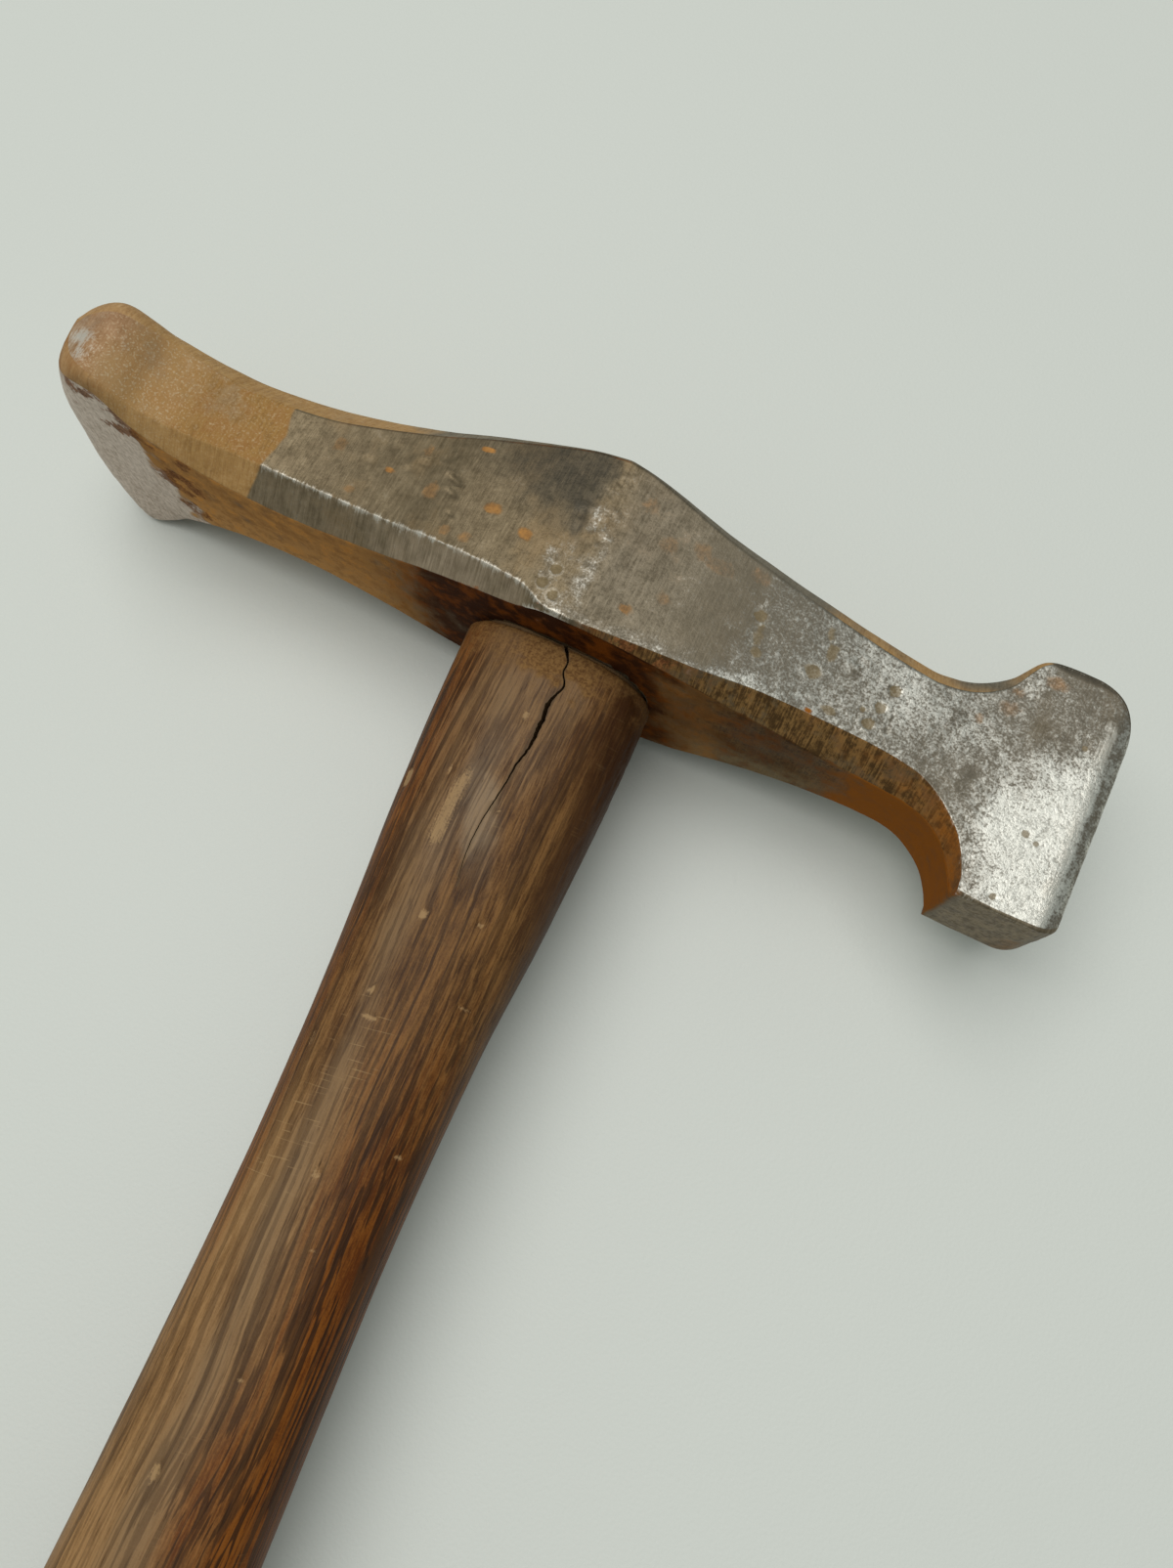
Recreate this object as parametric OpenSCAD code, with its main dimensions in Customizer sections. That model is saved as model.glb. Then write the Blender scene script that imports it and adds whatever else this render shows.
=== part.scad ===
// Long two-armed forging hammer on an oval wooden handle.
// The head is an eight-sided forging. One arm flares across the handle into a crowned peen,
// the other flares along the handle into a flat striking block.
// X runs along the head, the handle hangs toward -Y, and the cheeks face up and down.
// The frame starts at the middle of the striking face.

/* [Head body] */
// Eye centre to the striking face
face_reach = 93.8; // [88:0.5:104]
// Eye centre to the side corners of the peen
peen_reach = 97.7; // [92:0.1:106]
// Thickness of the head across the cheeks at the eye
eye_thickness = 44; // [40:0.5:50]
// Crest of the head above its centre line
crest_height = 19.4; // [17:0.2:22]
// Underside of the head below its centre line at the eye
belly_drop = 11.5; // [10:0.1:14]
// Smallest flat broken on any long edge
worn_edge = 0.7; // [0.4:0.1:1.5]

/* [Peen arm] */
// Eye centre to the thinnest place of the peen arm
peen_waist_at = 54; // [45:1:60]
// Top line at the waist above the centre line
peen_waist_top = 12.9; // [10:0.1:15]
// Underside at the waist below the centre line
peen_waist_drop = 10.4; // [8:0.1:12]
// Thickness across the cheeks at the waist
peen_waist_thickness = 28.4; // [24:0.2:34]
// Width of the chamfers at the waist
peen_chamfer = 5; // [2:0.1:7]
// Width across the flared peen
peen_width = 50; // [40:0.5:58]
// Height of the rounded nose of the peen
nose_height = 17.6; // [14:0.2:22]
// Depth of the nose from its fullest place to its edge
nose_depth = 9.7; // [6:0.1:12]
// Height of the nose's edge above the centre line
nose_tip = 1.6; // [0:0.2:3]
// Droop of the peen's far lower corner
peen_sag = 2; // [0:0.2:3]
// Bulge of the peen edge at its middle
peen_crown = 6; // [1:0.5:8]
// Slant of the peen edge toward its lower corner, in degrees
peen_slant = 4.6; // [0:0.2:6]

/* [Face arm] */
// Eye centre to the start of the flare
face_waist_at = 58; // [50:1:62]
// Top line at the waist above the centre line
face_waist_top = 12.3; // [10:0.1:15]
// Underside at the waist below the centre line
face_waist_drop = 10.4; // [8:0.1:12]
// Thickness across the cheeks at the waist
face_waist_thickness = 25.4; // [22:0.2:30]
// Width of the chamfers at the waist
face_chamfer = 4.5; // [2:0.1:6]

/* [Striking block] */
// Height of the block along the handle
block_height = 44.3; // [38:0.1:52]
// Thickness of the block at the striking face
block_thickness = 21; // [18:0.5:25]
// Length of the block's flat side walls
block_length = 17.2; // [14:0.2:22]
// How far the rounded long edges run back from the striking face
face_edge = 4.4; // [2:0.2:6]
// How much the rounding takes off each side of the striking face
face_edge_cut = 2.6; // [1:0.2:4]
// How far the worn upper corner runs back from the striking face
face_corner_run = 9; // [4:0.5:10]
// How much the worn upper corner takes off the height of the striking face
face_corner_drop = 9; // [2:0.5:10]
// Rounding of the lower short edge of the striking face
face_side_edge = 1.3; // [0.6:0.1:4]

/* [Eye] */
// Length of the eye opening at its waist
eye_length = 29; // [24:0.5:32]
// Width of the eye opening at its waist
eye_width = 18.4; // [16:0.2:22]
// How much wider each mouth of the eye is than its waist
eye_flare = 2.6; // [1:0.2:4]
// Gap between the tenon and the eye
eye_gap = 0.08; // [0.05:0.01:0.3]

/* [Handle] */
// How far the eye sits toward the face from the crest
eye_offset = 0.5; // [0:0.1:2]
// Lean of the handle toward the striking face, in degrees
handle_lean = 3.3; // [0:0.1:5]
// Middle of the eye to the butt of the handle
handle_reach = 328; // [290:1:390]
// Neck of the handle along the head
neck_length = 35.4; // [33:0.2:38]
// Neck of the handle across the cheeks
neck_width = 25; // [24:0.2:28]
// Middle of the eye to the slimmest place of the handle
waist_at = 118; // [100:1:140]
// Slimmest place along the head
waist_length = 27.2; // [24:0.2:31]
// Slimmest place across the cheeks
waist_width = 21.6; // [19:0.2:24]
// Grip along the head
grip_length = 32; // [28:0.2:35]
// Grip across the cheeks
grip_width = 25; // [22:0.2:28]
// Rounding of the butt end
butt_round = 5; // [3:0.5:8]
// Gap between the shoulder and the underside of the head
shoulder_gap = 0.3; // [0.2:0.1:1.5]
// How far the tenon stands out of the eye
tenon_stand = 1; // [0.4:0.2:3]

/* [Wedges] */
// Length of the wooden wedge along the eye
wood_wedge_length = 25; // [20:0.5:27]
// Thickness of the wooden wedge at its head
wood_wedge_thickness = 3.6; // [2.5:0.1:5]
// Depth of the wooden wedge
wood_wedge_depth = 22; // [16:0.5:25]
// Width of the steel wedge across the eye
steel_wedge_width = 14; // [10:0.5:16]
// Thickness of the steel wedge at its head
steel_wedge_thickness = 2.8; // [2:0.1:4]
// Depth of the steel wedge
steel_wedge_depth = 16; // [12:0.5:19]
// Thickness that both wedges keep at their tips
wedge_tip = 0.6; // [0.4:0.1:1]
// Gap round each wedge
wedge_gap = 0.05; // [0.03:0.01:0.15]

/* [Hidden] */

steel_colour = [0.46, 0.44, 0.41];
handle_colour = [0.36, 0.23, 0.14];
wedge_colour = [0.62, 0.46, 0.30];
iron_colour = [0.34, 0.30, 0.27];

// Sizes that several pieces share
eye_half = eye_thickness / 2;
peen_half = peen_width / 2;
peen_thin = peen_waist_thickness / 2;
nose_half = nose_height / 2;
block_half = block_height / 2;
face_thin = face_waist_thickness / 2;
block_start = face_reach - block_length;
nose_start = peen_reach - nose_depth;
eye_middle = (crest_height - belly_drop) / 2;
tenon_end = crest_height - eye_middle + tenon_stand;
corner_steps = 4;
face_steps = 8;
oval_steps = 48;

// Value at s on a smooth curve through the points of k, each [place, value]
function mix(a, b, t) = a + (b - a) * t;
function grade(k, i) = let (a = max(0, i - 1), b = min(len(k) - 1, i + 1))
    (k[b][1] - k[a][1]) / (k[b][0] - k[a][0]);
function span(k, s, i = 0) = (i >= len(k) - 2 || s <= k[i + 1][0]) ? i : span(k, s, i + 1);
function hermite(a, b, ma, mb, t) =
    (2 * t ^ 3 - 3 * t ^ 2 + 1) * a + (t ^ 3 - 2 * t ^ 2 + t) * ma
    + (3 * t ^ 2 - 2 * t ^ 3) * b + (t ^ 3 - t ^ 2) * mb;
function curve(k, s) = s <= k[0][0] ? k[0][1]
    : s >= k[len(k) - 1][0] ? k[len(k) - 1][1]
    : let (i = span(k, s), w = k[i + 1][0] - k[i][0])
        hermite(k[i][1], k[i + 1][1], grade(k, i) * w, grade(k, i + 1) * w, (s - k[i][0]) / w);
function step_up(a, b, s) = let (t = min(1, max(0, (s - a) / (b - a)))) t * t * (3 - 2 * t);

// Lines of the peen arm, each point is [distance from the eye centre, value]
peen_top = [[0, crest_height], [5, crest_height - 0.5],
    [peen_waist_at * 0.4, mix(crest_height, peen_waist_top, 0.48)],
    [peen_waist_at * 0.75, mix(crest_height, peen_waist_top, 0.8)],
    [peen_waist_at, peen_waist_top],
    [mix(peen_waist_at, nose_start, 0.45), mix(peen_waist_top, nose_half, 0.61)],
    [nose_start - 6, nose_half - 0.2], [nose_start, nose_half - 0.4]];
peen_bottom = [[0, -belly_drop], [peen_waist_at * 0.75, -mix(belly_drop, peen_waist_drop, 0.9)],
    [peen_waist_at, -peen_waist_drop],
    [mix(peen_waist_at, nose_start, 0.7), -peen_waist_drop + 0.2],
    [nose_start, -nose_half - 0.4]];
peen_thick = [[0, eye_half], [peen_waist_at * 0.2, eye_half - 1],
    [peen_waist_at * 0.45, mix(eye_half, peen_thin, 0.38)],
    [peen_waist_at * 0.6, mix(eye_half, peen_thin, 0.66)],
    [peen_waist_at * 0.8, mix(eye_half, peen_thin, 0.9)],
    [peen_waist_at, peen_thin],
    [mix(peen_waist_at, nose_start, 0.38), mix(peen_thin, peen_half, 0.06)],
    [mix(peen_waist_at, nose_start, 0.6), mix(peen_thin, peen_half, 0.2)],
    [mix(peen_waist_at, nose_start, 0.8), mix(peen_thin, peen_half, 0.5)],
    [nose_start - 2.5, mix(peen_thin, peen_half, 0.78)],
    [nose_start + 2, peen_half - 0.3], [nose_start + 5, peen_half], [peen_reach, peen_half - 1.5]];
peen_top_cut = [[0, worn_edge], [8, worn_edge], [peen_waist_at * 0.4, peen_chamfer * 0.4],
    [peen_waist_at * 0.75, peen_chamfer * 0.8], [peen_waist_at, peen_chamfer * 1.1],
    [mix(peen_waist_at, nose_start, 0.4), peen_chamfer * 0.9], [nose_start - 8, 2.4],
    [nose_start, 3.2], [peen_reach, 3.6]];
peen_low_cut = [[0, worn_edge], [2, worn_edge + 0.2], [7, peen_chamfer * 0.6],
    [peen_waist_at * 0.4, peen_chamfer * 0.8],
    [peen_waist_at * 0.65, peen_chamfer * 0.9], [peen_waist_at, peen_chamfer],
    [mix(peen_waist_at, nose_start, 0.4), peen_chamfer * 0.9], [nose_start - 8, peen_chamfer * 0.55],
    [nose_start, 1.8], [peen_reach, 3]];
peen_soft = [[0, 0], [peen_waist_at, 0], [nose_start - 12, 0.15], [nose_start, 1], [peen_reach, 1]];

// Lines of the face arm
face_top = [[0, crest_height], [5, crest_height - 0.8],
    [face_waist_at * 0.33, mix(crest_height, face_waist_top, 0.53)],
    [face_waist_at * 0.5, mix(crest_height, face_waist_top, 0.69)],
    [face_waist_at * 0.8, mix(crest_height, face_waist_top, 0.88)],
    [face_waist_at, face_waist_top], [mix(face_waist_at, block_start, 0.2), face_waist_top + 0.1],
    [mix(face_waist_at, block_start, 0.5), mix(face_waist_top, block_half, 0.17)],
    [mix(face_waist_at, block_start, 0.78), mix(face_waist_top, block_half, 0.5)],
    [mix(face_waist_at, block_start, 0.94), mix(face_waist_top, block_half, 0.87)],
    [block_start + 1, block_half - 0.2], [block_start + 3, block_half]];
face_bottom = [[0, -belly_drop], [face_waist_at * 0.4, -mix(belly_drop, face_waist_drop, 0.25)],
    [face_waist_at * 0.65, -mix(belly_drop, face_waist_drop, 0.8)],
    [face_waist_at * 0.9, -face_waist_drop],
    [mix(face_waist_at, block_start, 0.25), -face_waist_drop - 0.3],
    [mix(face_waist_at, block_start, 0.48), -mix(face_waist_drop, block_half, 0.1)],
    [mix(face_waist_at, block_start, 0.65), -mix(face_waist_drop, block_half, 0.24)],
    [mix(face_waist_at, block_start, 0.8), -mix(face_waist_drop, block_half, 0.46)],
    [mix(face_waist_at, block_start, 0.92), -mix(face_waist_drop, block_half, 0.76)],
    [block_start - 0.2, -block_half], [block_start, -block_half]];
face_thick = [[0, eye_half], [face_waist_at * 0.2, eye_half - 0.3],
    [face_waist_at * 0.4, mix(eye_half, face_thin, 0.12)],
    [face_waist_at * 0.5, mix(eye_half, face_thin, 0.37)],
    [face_waist_at * 0.62, mix(eye_half, face_thin, 0.56)],
    [face_waist_at * 0.8, mix(eye_half, face_thin, 0.82)],
    [face_waist_at, face_thin], [face_waist_at + 3, face_thin - 0.2],
    [face_waist_at + 10, face_thin - 1.4],
    [block_start, block_thickness / 2 + 0.3], [face_reach, block_thickness / 2]];
face_top_cut = [[0, worn_edge], [4, worn_edge], [face_waist_at * 0.33, face_chamfer * 0.38],
    [face_waist_at * 0.65, face_chamfer * 0.57], [face_waist_at, face_chamfer * 0.7],
    [block_start - 5, face_chamfer * 0.7], [block_start + 1, worn_edge], [face_reach, worn_edge]];
face_low_cut = [[0, worn_edge], [6, worn_edge], [face_waist_at * 0.4, face_chamfer * 0.47],
    [face_waist_at * 0.6, face_chamfer * 0.8], [face_waist_at * 0.9, face_chamfer],
    [face_waist_at + 5, face_chamfer * 0.94], [block_start - 6, face_chamfer * 0.7],
    [block_start - 0.2, face_chamfer * 0.66], [block_start, worn_edge], [face_reach, worn_edge]];

// Places of the rings along each arm, closer together at the ends
nose_rings = 9;
corner_rings = 9;
peen_rings = concat(
    [for (i = [0 : nose_rings]) nose_start + nose_depth * sin(86 * (1 - i / nose_rings))],
    [for (s = [nose_start - 2 : -2 : peen_waist_at]) s], [for (s = [peen_waist_at - 2 : -3 : 3]) s]);
face_rings = concat([for (s = [2.5 : 2.5 : face_waist_at]) s],
    [for (s = [face_waist_at + 1.2 : 1.2 : block_start - 0.8]) s],
    [block_start - 0.2, block_start, block_start + 1, block_start + 3],
    [for (i = [0 : corner_rings]) face_reach - face_corner_run * (1 - sin(90 * i / corner_rings))]);

// One corner of a section, from the flat at the top or bottom to the cheek
function corner(y, z, side, cut, soft) = [for (i = [0 : corner_steps])
    let (t = i / corner_steps, a = 90 * t)
    [y - side * cut * mix(t, 1 - cos(a), soft), z - cut * mix(1 - t, 1 - sin(a), soft)]];
function back_to_front(points) = [for (i = [len(points) - 1 : -1 : 0]) points[i]];
function far_side(points) = [for (p = points) [p[0], -p[1]]];
function across(y, z) = [for (i = [1 : face_steps - 1]) [y, mix(-z, z, i / face_steps)]];
// A whole section as [y, z] points, round the top, one cheek, the underside and the other cheek
function section(top, bottom, half, cut_top, cut_low, soft) = let (
    near_top = corner(top, half, 1, cut_top, soft),
    near_low = corner(bottom, half, -1, cut_low, soft))
    concat(across(top, half - cut_top), near_top, back_to_front(near_low),
        far_side(across(bottom, half - cut_low)), far_side(near_low),
        back_to_front(far_side(near_top)));

function bulge(s, z) = (peen_crown * (1 - min(1, abs(z / peen_half)) ^ 2.2) - z * tan(peen_slant))
    * step_up(nose_start - 18, nose_start + 4, s);
// The far half of the peen's underside hangs lower toward the nose
function sag(s, y, z) = peen_sag * step_up(nose_start - 8, nose_start + 5, s)
    * max(0, -z / peen_half) * min(1, max(0, -y / nose_half));
// The nose is round above and fuller below, where the peen is worn
function pinch(s, power) = s <= nose_start ? 1
    : (1 - ((s - nose_start) / nose_depth) ^ power) ^ (1 / power);
function peen_section(s) = let (
    top = mix(nose_tip, curve(peen_top, s), pinch(s, 2.6)),
    bottom = mix(nose_tip, curve(peen_bottom, s), pinch(s, 3.2)),
    room = (top - bottom) * 0.48,
    points = section(top, bottom, curve(peen_thick, s), min(room, curve(peen_top_cut, s)),
        min(room, curve(peen_low_cut, s)), curve(peen_soft, s)))
    [for (p = points) [-s - bulge(s, p[1]), p[0] - sag(s, p[0], p[1]), p[1]]];
function edge_cut(s, run, most) = s <= face_reach - run ? 0
    : most * (1 - sqrt(1 - ((s - face_reach + run) / run) ^ 2));
function face_section(s) = let (
    cut = edge_cut(s, face_edge, face_edge_cut),
    points = section(curve(face_top, s) - edge_cut(s, face_corner_run, face_corner_drop),
        curve(face_bottom, s) + edge_cut(s, face_side_edge, face_side_edge),
        curve(face_thick, s) - cut, curve(face_top_cut, s) + cut * 0.6,
        curve(face_low_cut, s) + cut * 0.1, step_up(block_start, face_reach - face_edge, s)))
    [for (p = points) [s, p[0], p[1]]];
function eye_section() = [for (p = section(crest_height, -belly_drop, eye_half, worn_edge, worn_edge, 0))
    [0, p[0], p[1]]];

// Skin through a list of rings that all have the same number of points.
// The ends are closed by strips from the top to the underside, or as one flat polygon.
function end_strip(count, at, flip) = let (top_last = face_steps + corner_steps - 1)
    [for (k = [0 : count / 2 - 2])
        let (a = at + (top_last - k + count) % count, b = at + (top_last - k - 1 + count) % count,
            c = at + top_last + k + 1)
        each flip ? [[c, a, b], [c + 1, c, b]] : [[b, a, c], [b, c, c + 1]]];
module skin(rings, strips = false) {
    count = len(rings[0]);
    last = (len(rings) - 1) * count;
    polyhedron(
        points = [for (ring = rings, p = ring) p],
        faces = concat(
            strips ? end_strip(count, 0, false) : [[for (i = [0 : count - 1]) i]],
            [for (r = [0 : count : last - 1], i = [0 : count - 1]) let (j = (i + 1) % count)
                each [[r + i, r + count + i, r + count + j], [r + i, r + count + j, r + j]]],
            strips ? end_strip(count, last, true) : [[for (i = [count - 1 : -1 : 0]) last + i]]),
        convexity = 8);
}

// Oval ring at height v of the handle, which can slope with the underside of the head
function oval(v, along, wide, slope = 0, power = 2.3) = [for (i = [0 : oval_steps - 1])
    let (a = 360 * i / oval_steps,
        x = along / 2 * sign(cos(a)) * abs(cos(a)) ^ (2 / power),
        z = wide / 2 * sign(sin(a)) * abs(sin(a)) ^ (2 / power))
    [x, v + slope * x, z]];

// The eye is waisted at its middle and opens toward both mouths
eye_run = crest_height - eye_middle;
eye_flat = eye_length - eye_width;
eye_steps = 72;
module eye_mouth(gap, run) {
    waist = eye_width / 2 - gap;
    mouth = waist + eye_flare / 2 * run / eye_run;
    for (side = [-1, 1])
        translate([side * eye_flat / 2, 0, 0])
            rotate([-90, 0, 0])
                cylinder(h = run, r1 = waist, r2 = mouth, $fn = eye_steps);
    rotate([90, 0, 90])
        linear_extrude(height = eye_flat, center = true)
            polygon([[0, -waist], [run, -mouth], [run, mouth], [0, waist]]);
}
module eye_form(gap, up, down) {
    eye_mouth(gap, up);
    mirror([0, 1, 0])
        eye_mouth(gap, down);
}

// Widths of the handle, each point is [distance below the middle of the eye, value]
handle_along = [[0, neck_length], [30, neck_length - 0.2],
    [waist_at * 0.41, mix(neck_length, waist_length, 0.24)],
    [waist_at * 0.63, mix(neck_length, waist_length, 0.66)],
    [waist_at * 0.78, mix(neck_length, waist_length, 0.88)], [waist_at, waist_length],
    [waist_at + 25, waist_length + 0.4], [waist_at + 45, waist_length + 1.3],
    [handle_reach - 95, grip_length], [handle_reach - 35, grip_length - 0.6],
    [handle_reach, grip_length + 1.2]];
handle_wide = [[0, neck_width], [30, neck_width - 0.2],
    [waist_at * 0.63, mix(neck_width, waist_width, 0.66)], [waist_at, waist_width],
    [waist_at + 45, waist_width + 1], [handle_reach - 95, grip_width],
    [handle_reach - 35, grip_width - 0.6], [handle_reach, grip_width + 1]];
shoulder_at = belly_drop + eye_middle + shoulder_gap;
shoulder_slope = -tan(handle_lean);
shoulder_round = 1.4;
round_rings = 4;
handle_rings = 34;
function trimmed(v, cut, slope = 0) =
    oval(-v, curve(handle_along, v) - 2 * cut, curve(handle_wide, v) - 2 * cut, slope);
module handle_body() {
    eye_form(eye_gap, tenon_end, shoulder_at + 2);
    skin(concat(
        [for (i = [0 : round_rings]) let (a = 90 * i / round_rings)
            trimmed(shoulder_at + shoulder_round * (1 - cos(a)), shoulder_round * (1 - sin(a)),
                shoulder_slope)],
        [for (i = [1 : handle_rings]) let (t = i / handle_rings)
            trimmed(mix(shoulder_at + shoulder_round, handle_reach - butt_round, t), 0,
                shoulder_slope * (1 - step_up(0, 0.12, t)))],
        [for (i = [1 : round_rings]) let (a = 90 * i / round_rings)
            trimmed(handle_reach - butt_round * (1 - sin(a)), butt_round * (1 - cos(a)))]));
}

// A wedge that narrows downward from the end of the tenon, with its flats facing X
module wedge(wide, thick, depth, gap) {
    linear_extrude(height = wide + 2 * gap, center = true)
        polygon([[-thick / 2 - gap, gap * 20], [thick / 2 + gap, gap * 20],
            [thick / 2 + gap, 0], [wedge_tip / 2 + gap, -depth - gap],
            [-wedge_tip / 2 - gap, -depth - gap], [-thick / 2 - gap, 0]]);
}
module wood_wedge_form(gap) {
    translate([0, tenon_end, 0])
        rotate([0, 90, 0])
            wedge(wood_wedge_length, wood_wedge_thickness, wood_wedge_depth, gap);
}
module steel_wedge_form(gap) {
    translate([0, tenon_end, 0])
        wedge(steel_wedge_width, steel_wedge_thickness, steel_wedge_depth, gap);
}

// Places a piece of the handle in the eye of the head
module hung() {
    translate([eye_offset - face_reach, eye_middle, 0])
        rotate([0, 0, handle_lean])
            children();
}

module head() {
    color(steel_colour)
        difference() {
            translate([-face_reach, 0, 0])
                skin(concat([for (s = peen_rings) peen_section(s)], [eye_section()],
                    [for (s = face_rings) face_section(s)]), strips = true);
            hung() eye_form(0, eye_run + 5, eye_run + 5);
        }
}
module handle() {
    color(handle_colour)
        hung() difference() {
            handle_body();
            wood_wedge_form(wedge_gap);
            steel_wedge_form(wedge_gap);
        }
}
module wood_wedge() {
    color(wedge_colour)
        hung() difference() {
            wood_wedge_form(0);
            steel_wedge_form(wedge_gap);
        }
}
module steel_wedge() {
    color(iron_colour)
        hung() steel_wedge_form(0);
}

head();
handle();
wood_wedge();
steel_wedge();
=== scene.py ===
"""Boilermaker hammer: worn forged steel head on a cracked wooden handle, lying on a pale table."""
import math
from functools import reduce
import bmesh
import bpy
from mathutils import Matrix, Vector, noise


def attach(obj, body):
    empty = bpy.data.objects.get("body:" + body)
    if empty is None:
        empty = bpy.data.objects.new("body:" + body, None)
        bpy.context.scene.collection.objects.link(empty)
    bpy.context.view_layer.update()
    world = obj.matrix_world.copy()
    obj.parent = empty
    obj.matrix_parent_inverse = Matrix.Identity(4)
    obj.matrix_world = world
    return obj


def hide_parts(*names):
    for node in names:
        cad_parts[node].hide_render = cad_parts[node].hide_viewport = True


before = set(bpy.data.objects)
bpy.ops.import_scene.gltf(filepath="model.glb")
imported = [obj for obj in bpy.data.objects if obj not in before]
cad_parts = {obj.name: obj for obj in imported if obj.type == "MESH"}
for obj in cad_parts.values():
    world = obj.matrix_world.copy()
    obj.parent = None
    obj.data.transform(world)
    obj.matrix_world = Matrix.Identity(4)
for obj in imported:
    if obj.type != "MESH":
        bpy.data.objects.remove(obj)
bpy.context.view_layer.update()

# All lengths below are in millimetres; the part lies with its striking face at x = 0
MM = 0.001
FACE_REACH = 93.8
EYE_PLACE = Vector((0.5 - FACE_REACH, 3.95, 0.0))
HANDLE_LEAN = math.radians(3.3)
SEAM_GAP = 0.002
SHARP_ANGLE = math.radians(38)


# ---------------- plain maths

def mix(a, b, t):
    return a + (b - a) * t


def step_up(low, high, value):
    """0 at low and 1 at high, smooth between; low may be the larger one."""
    t = min(1.0, max(0.0, (value - low) / (high - low)))
    return t * t * (3 - 2 * t)


def hump(*reaches):
    """1 where every reach is 0, falling off all round."""
    return math.exp(-sum(r ** 2 for r in reaches))


def curve(keys, s):
    """Value at s on a smooth line through the (place, value) keys."""
    if s <= keys[0][0]:
        return keys[0][1]
    if s >= keys[-1][0]:
        return keys[-1][1]
    i = max(k for k in range(len(keys) - 1) if keys[k][0] <= s)

    def grade(k):
        a, b = keys[max(0, k - 1)], keys[min(len(keys) - 1, k + 1)]
        return (b[1] - a[1]) / (b[0] - a[0])

    run = keys[i + 1][0] - keys[i][0]
    t = (s - keys[i][0]) / run
    return ((2 * t ** 3 - 3 * t ** 2 + 1) * keys[i][1] + (t ** 3 - 2 * t ** 2 + t) * grade(i) * run
            + (3 * t ** 2 - 2 * t ** 3) * keys[i + 1][1] + (t ** 3 - t ** 2) * grade(i + 1) * run)


def wave(x, y, z):
    """Smooth noise from about -1 to 1."""
    return noise.noise(Vector((x, y, z)))


def rough(point, size, depth=1.0, octaves=3):
    """Uneven surface height: size is the width of a bump."""
    return depth * noise.fractal(Vector(point) / size, 1.0, 2.1, octaves)


def spread(count, pinch):
    """Places from 0 to 1 that crowd toward both ends."""
    turn = 2 * math.pi
    return [i / count - pinch * math.sin(turn * i / count) / turn for i in range(count)]


def evenly(start, end, step):
    """Places from start up to end, about a step apart."""
    count = max(1, round((end - start) / step))
    return [mix(start, end, i / count) for i in range(count)]


# ---------------- lines of the head, by distance from the eye

PEEN = {
    "top": [(0, 19.4), (5, 18.9), (21.6, 16.3), (40.5, 14.2), (54, 12.9), (69.3, 10.4), (82, 8.6), (88, 8.4)],
    "bottom": [(0, -11.5), (40.5, -10.51), (54, -10.4), (77.8, -10.2), (88, -9.2)],
    "thick": [(0, 22), (10.8, 21), (24.3, 19.04), (32.4, 16.85), (43.2, 14.98), (54, 14.2), (66.9, 14.85),
        (74.4, 16.36), (81.2, 19.6), (85.5, 22.62), (90, 24.7), (93, 25), (97.7, 23.5)],
    "top_cut": [(0, 0.7), (8, 0.7), (21.6, 2.0), (40.5, 4.0), (54, 5.5), (67.6, 4.5), (80, 2.4), (88, 3.2),
        (97.7, 3.6)],
    "low_cut": [(0, 0.7), (2, 0.9), (7, 3), (21.6, 4), (35.1, 4.5), (54, 5), (67.6, 4.5), (80, 2.75),
        (88, 1.8), (97.7, 3)],
    "soft": [(0, 0), (54, 0), (76, 0.15), (88, 1), (97, 1)],
}
FACE = {
    "top": [(0, 19.4), (5, 18.6), (19.1, 15.6), (29, 14.5), (46.4, 13.15), (58, 12.3), (61.7, 12.4),
        (67.3, 14.0), (72.5, 17.3), (75.5, 20.95), (77.6, 21.95), (79.6, 22.15)],
    "bottom": [(0, -11.5), (23.2, -11.22), (37.7, -10.62), (52.2, -10.4), (62.6, -10.7), (66.9, -11.58),
        (70.1, -13.22), (72.9, -15.8), (75.1, -19.33), (76.4, -22.15), (76.6, -22.15)],
    "thick": [(0, 22), (11.6, 21.45), (19, 20.6), (24, 19.6), (29, 18.4), (36, 16.75), (46.4, 14.4),
        (54, 13.15), (61, 12.2), (68, 11.35), (76.6, 10.8), (93.8, 10.5)],
    "top_cut": [(0, 0.7), (4, 0.7), (19.1, 1.71), (37.7, 2.56), (58, 3.15), (71.6, 3.15), (77.6, 0.7),
        (93.8, 0.7)],
    "low_cut": [(0, 0.7), (6, 0.7), (23.2, 2.11), (34.8, 3.6), (52.2, 4.5), (63, 4.23), (70.6, 3.15),
        (76.4, 2.97), (76.6, 0.7), (93.8, 0.7)],
    "soft": [(76.6, 0), (89.4, 1)],
}
# The peen's worn end: where it starts to round off, over what depth and toward what height
NOSE_START, NOSE_DEPTH, NOSE_TIP = 88.0, 9.7, 1.6
PEEN_HALF, PEEN_CROWN, PEEN_SAG = 25.0, 6.0, 2.0
OUT_OF_SQUARE = math.radians(4.6)
RIDGE_SOFT, EDGE_SOFT = 0.7, 0.35
# Worn corners of the striking block: over what run, and how much at most
WORN_TOP, WORN_LOW, WORN_SIDE = (9.0, 9.0), (4.2, 2.6), (4.4, 2.6)
WALL_START = 77.8
# Steps between sections of the head
COARSE, MIDDLING, CLOSE, FINE = 0.62, 0.6, 0.45, 0.42
FACE_RINGS = (0.97, 0.93, 0.88, 0.82, 0.75, 0.66, 0.56, 0.45, 0.34, 0.22, 0.1)
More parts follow.
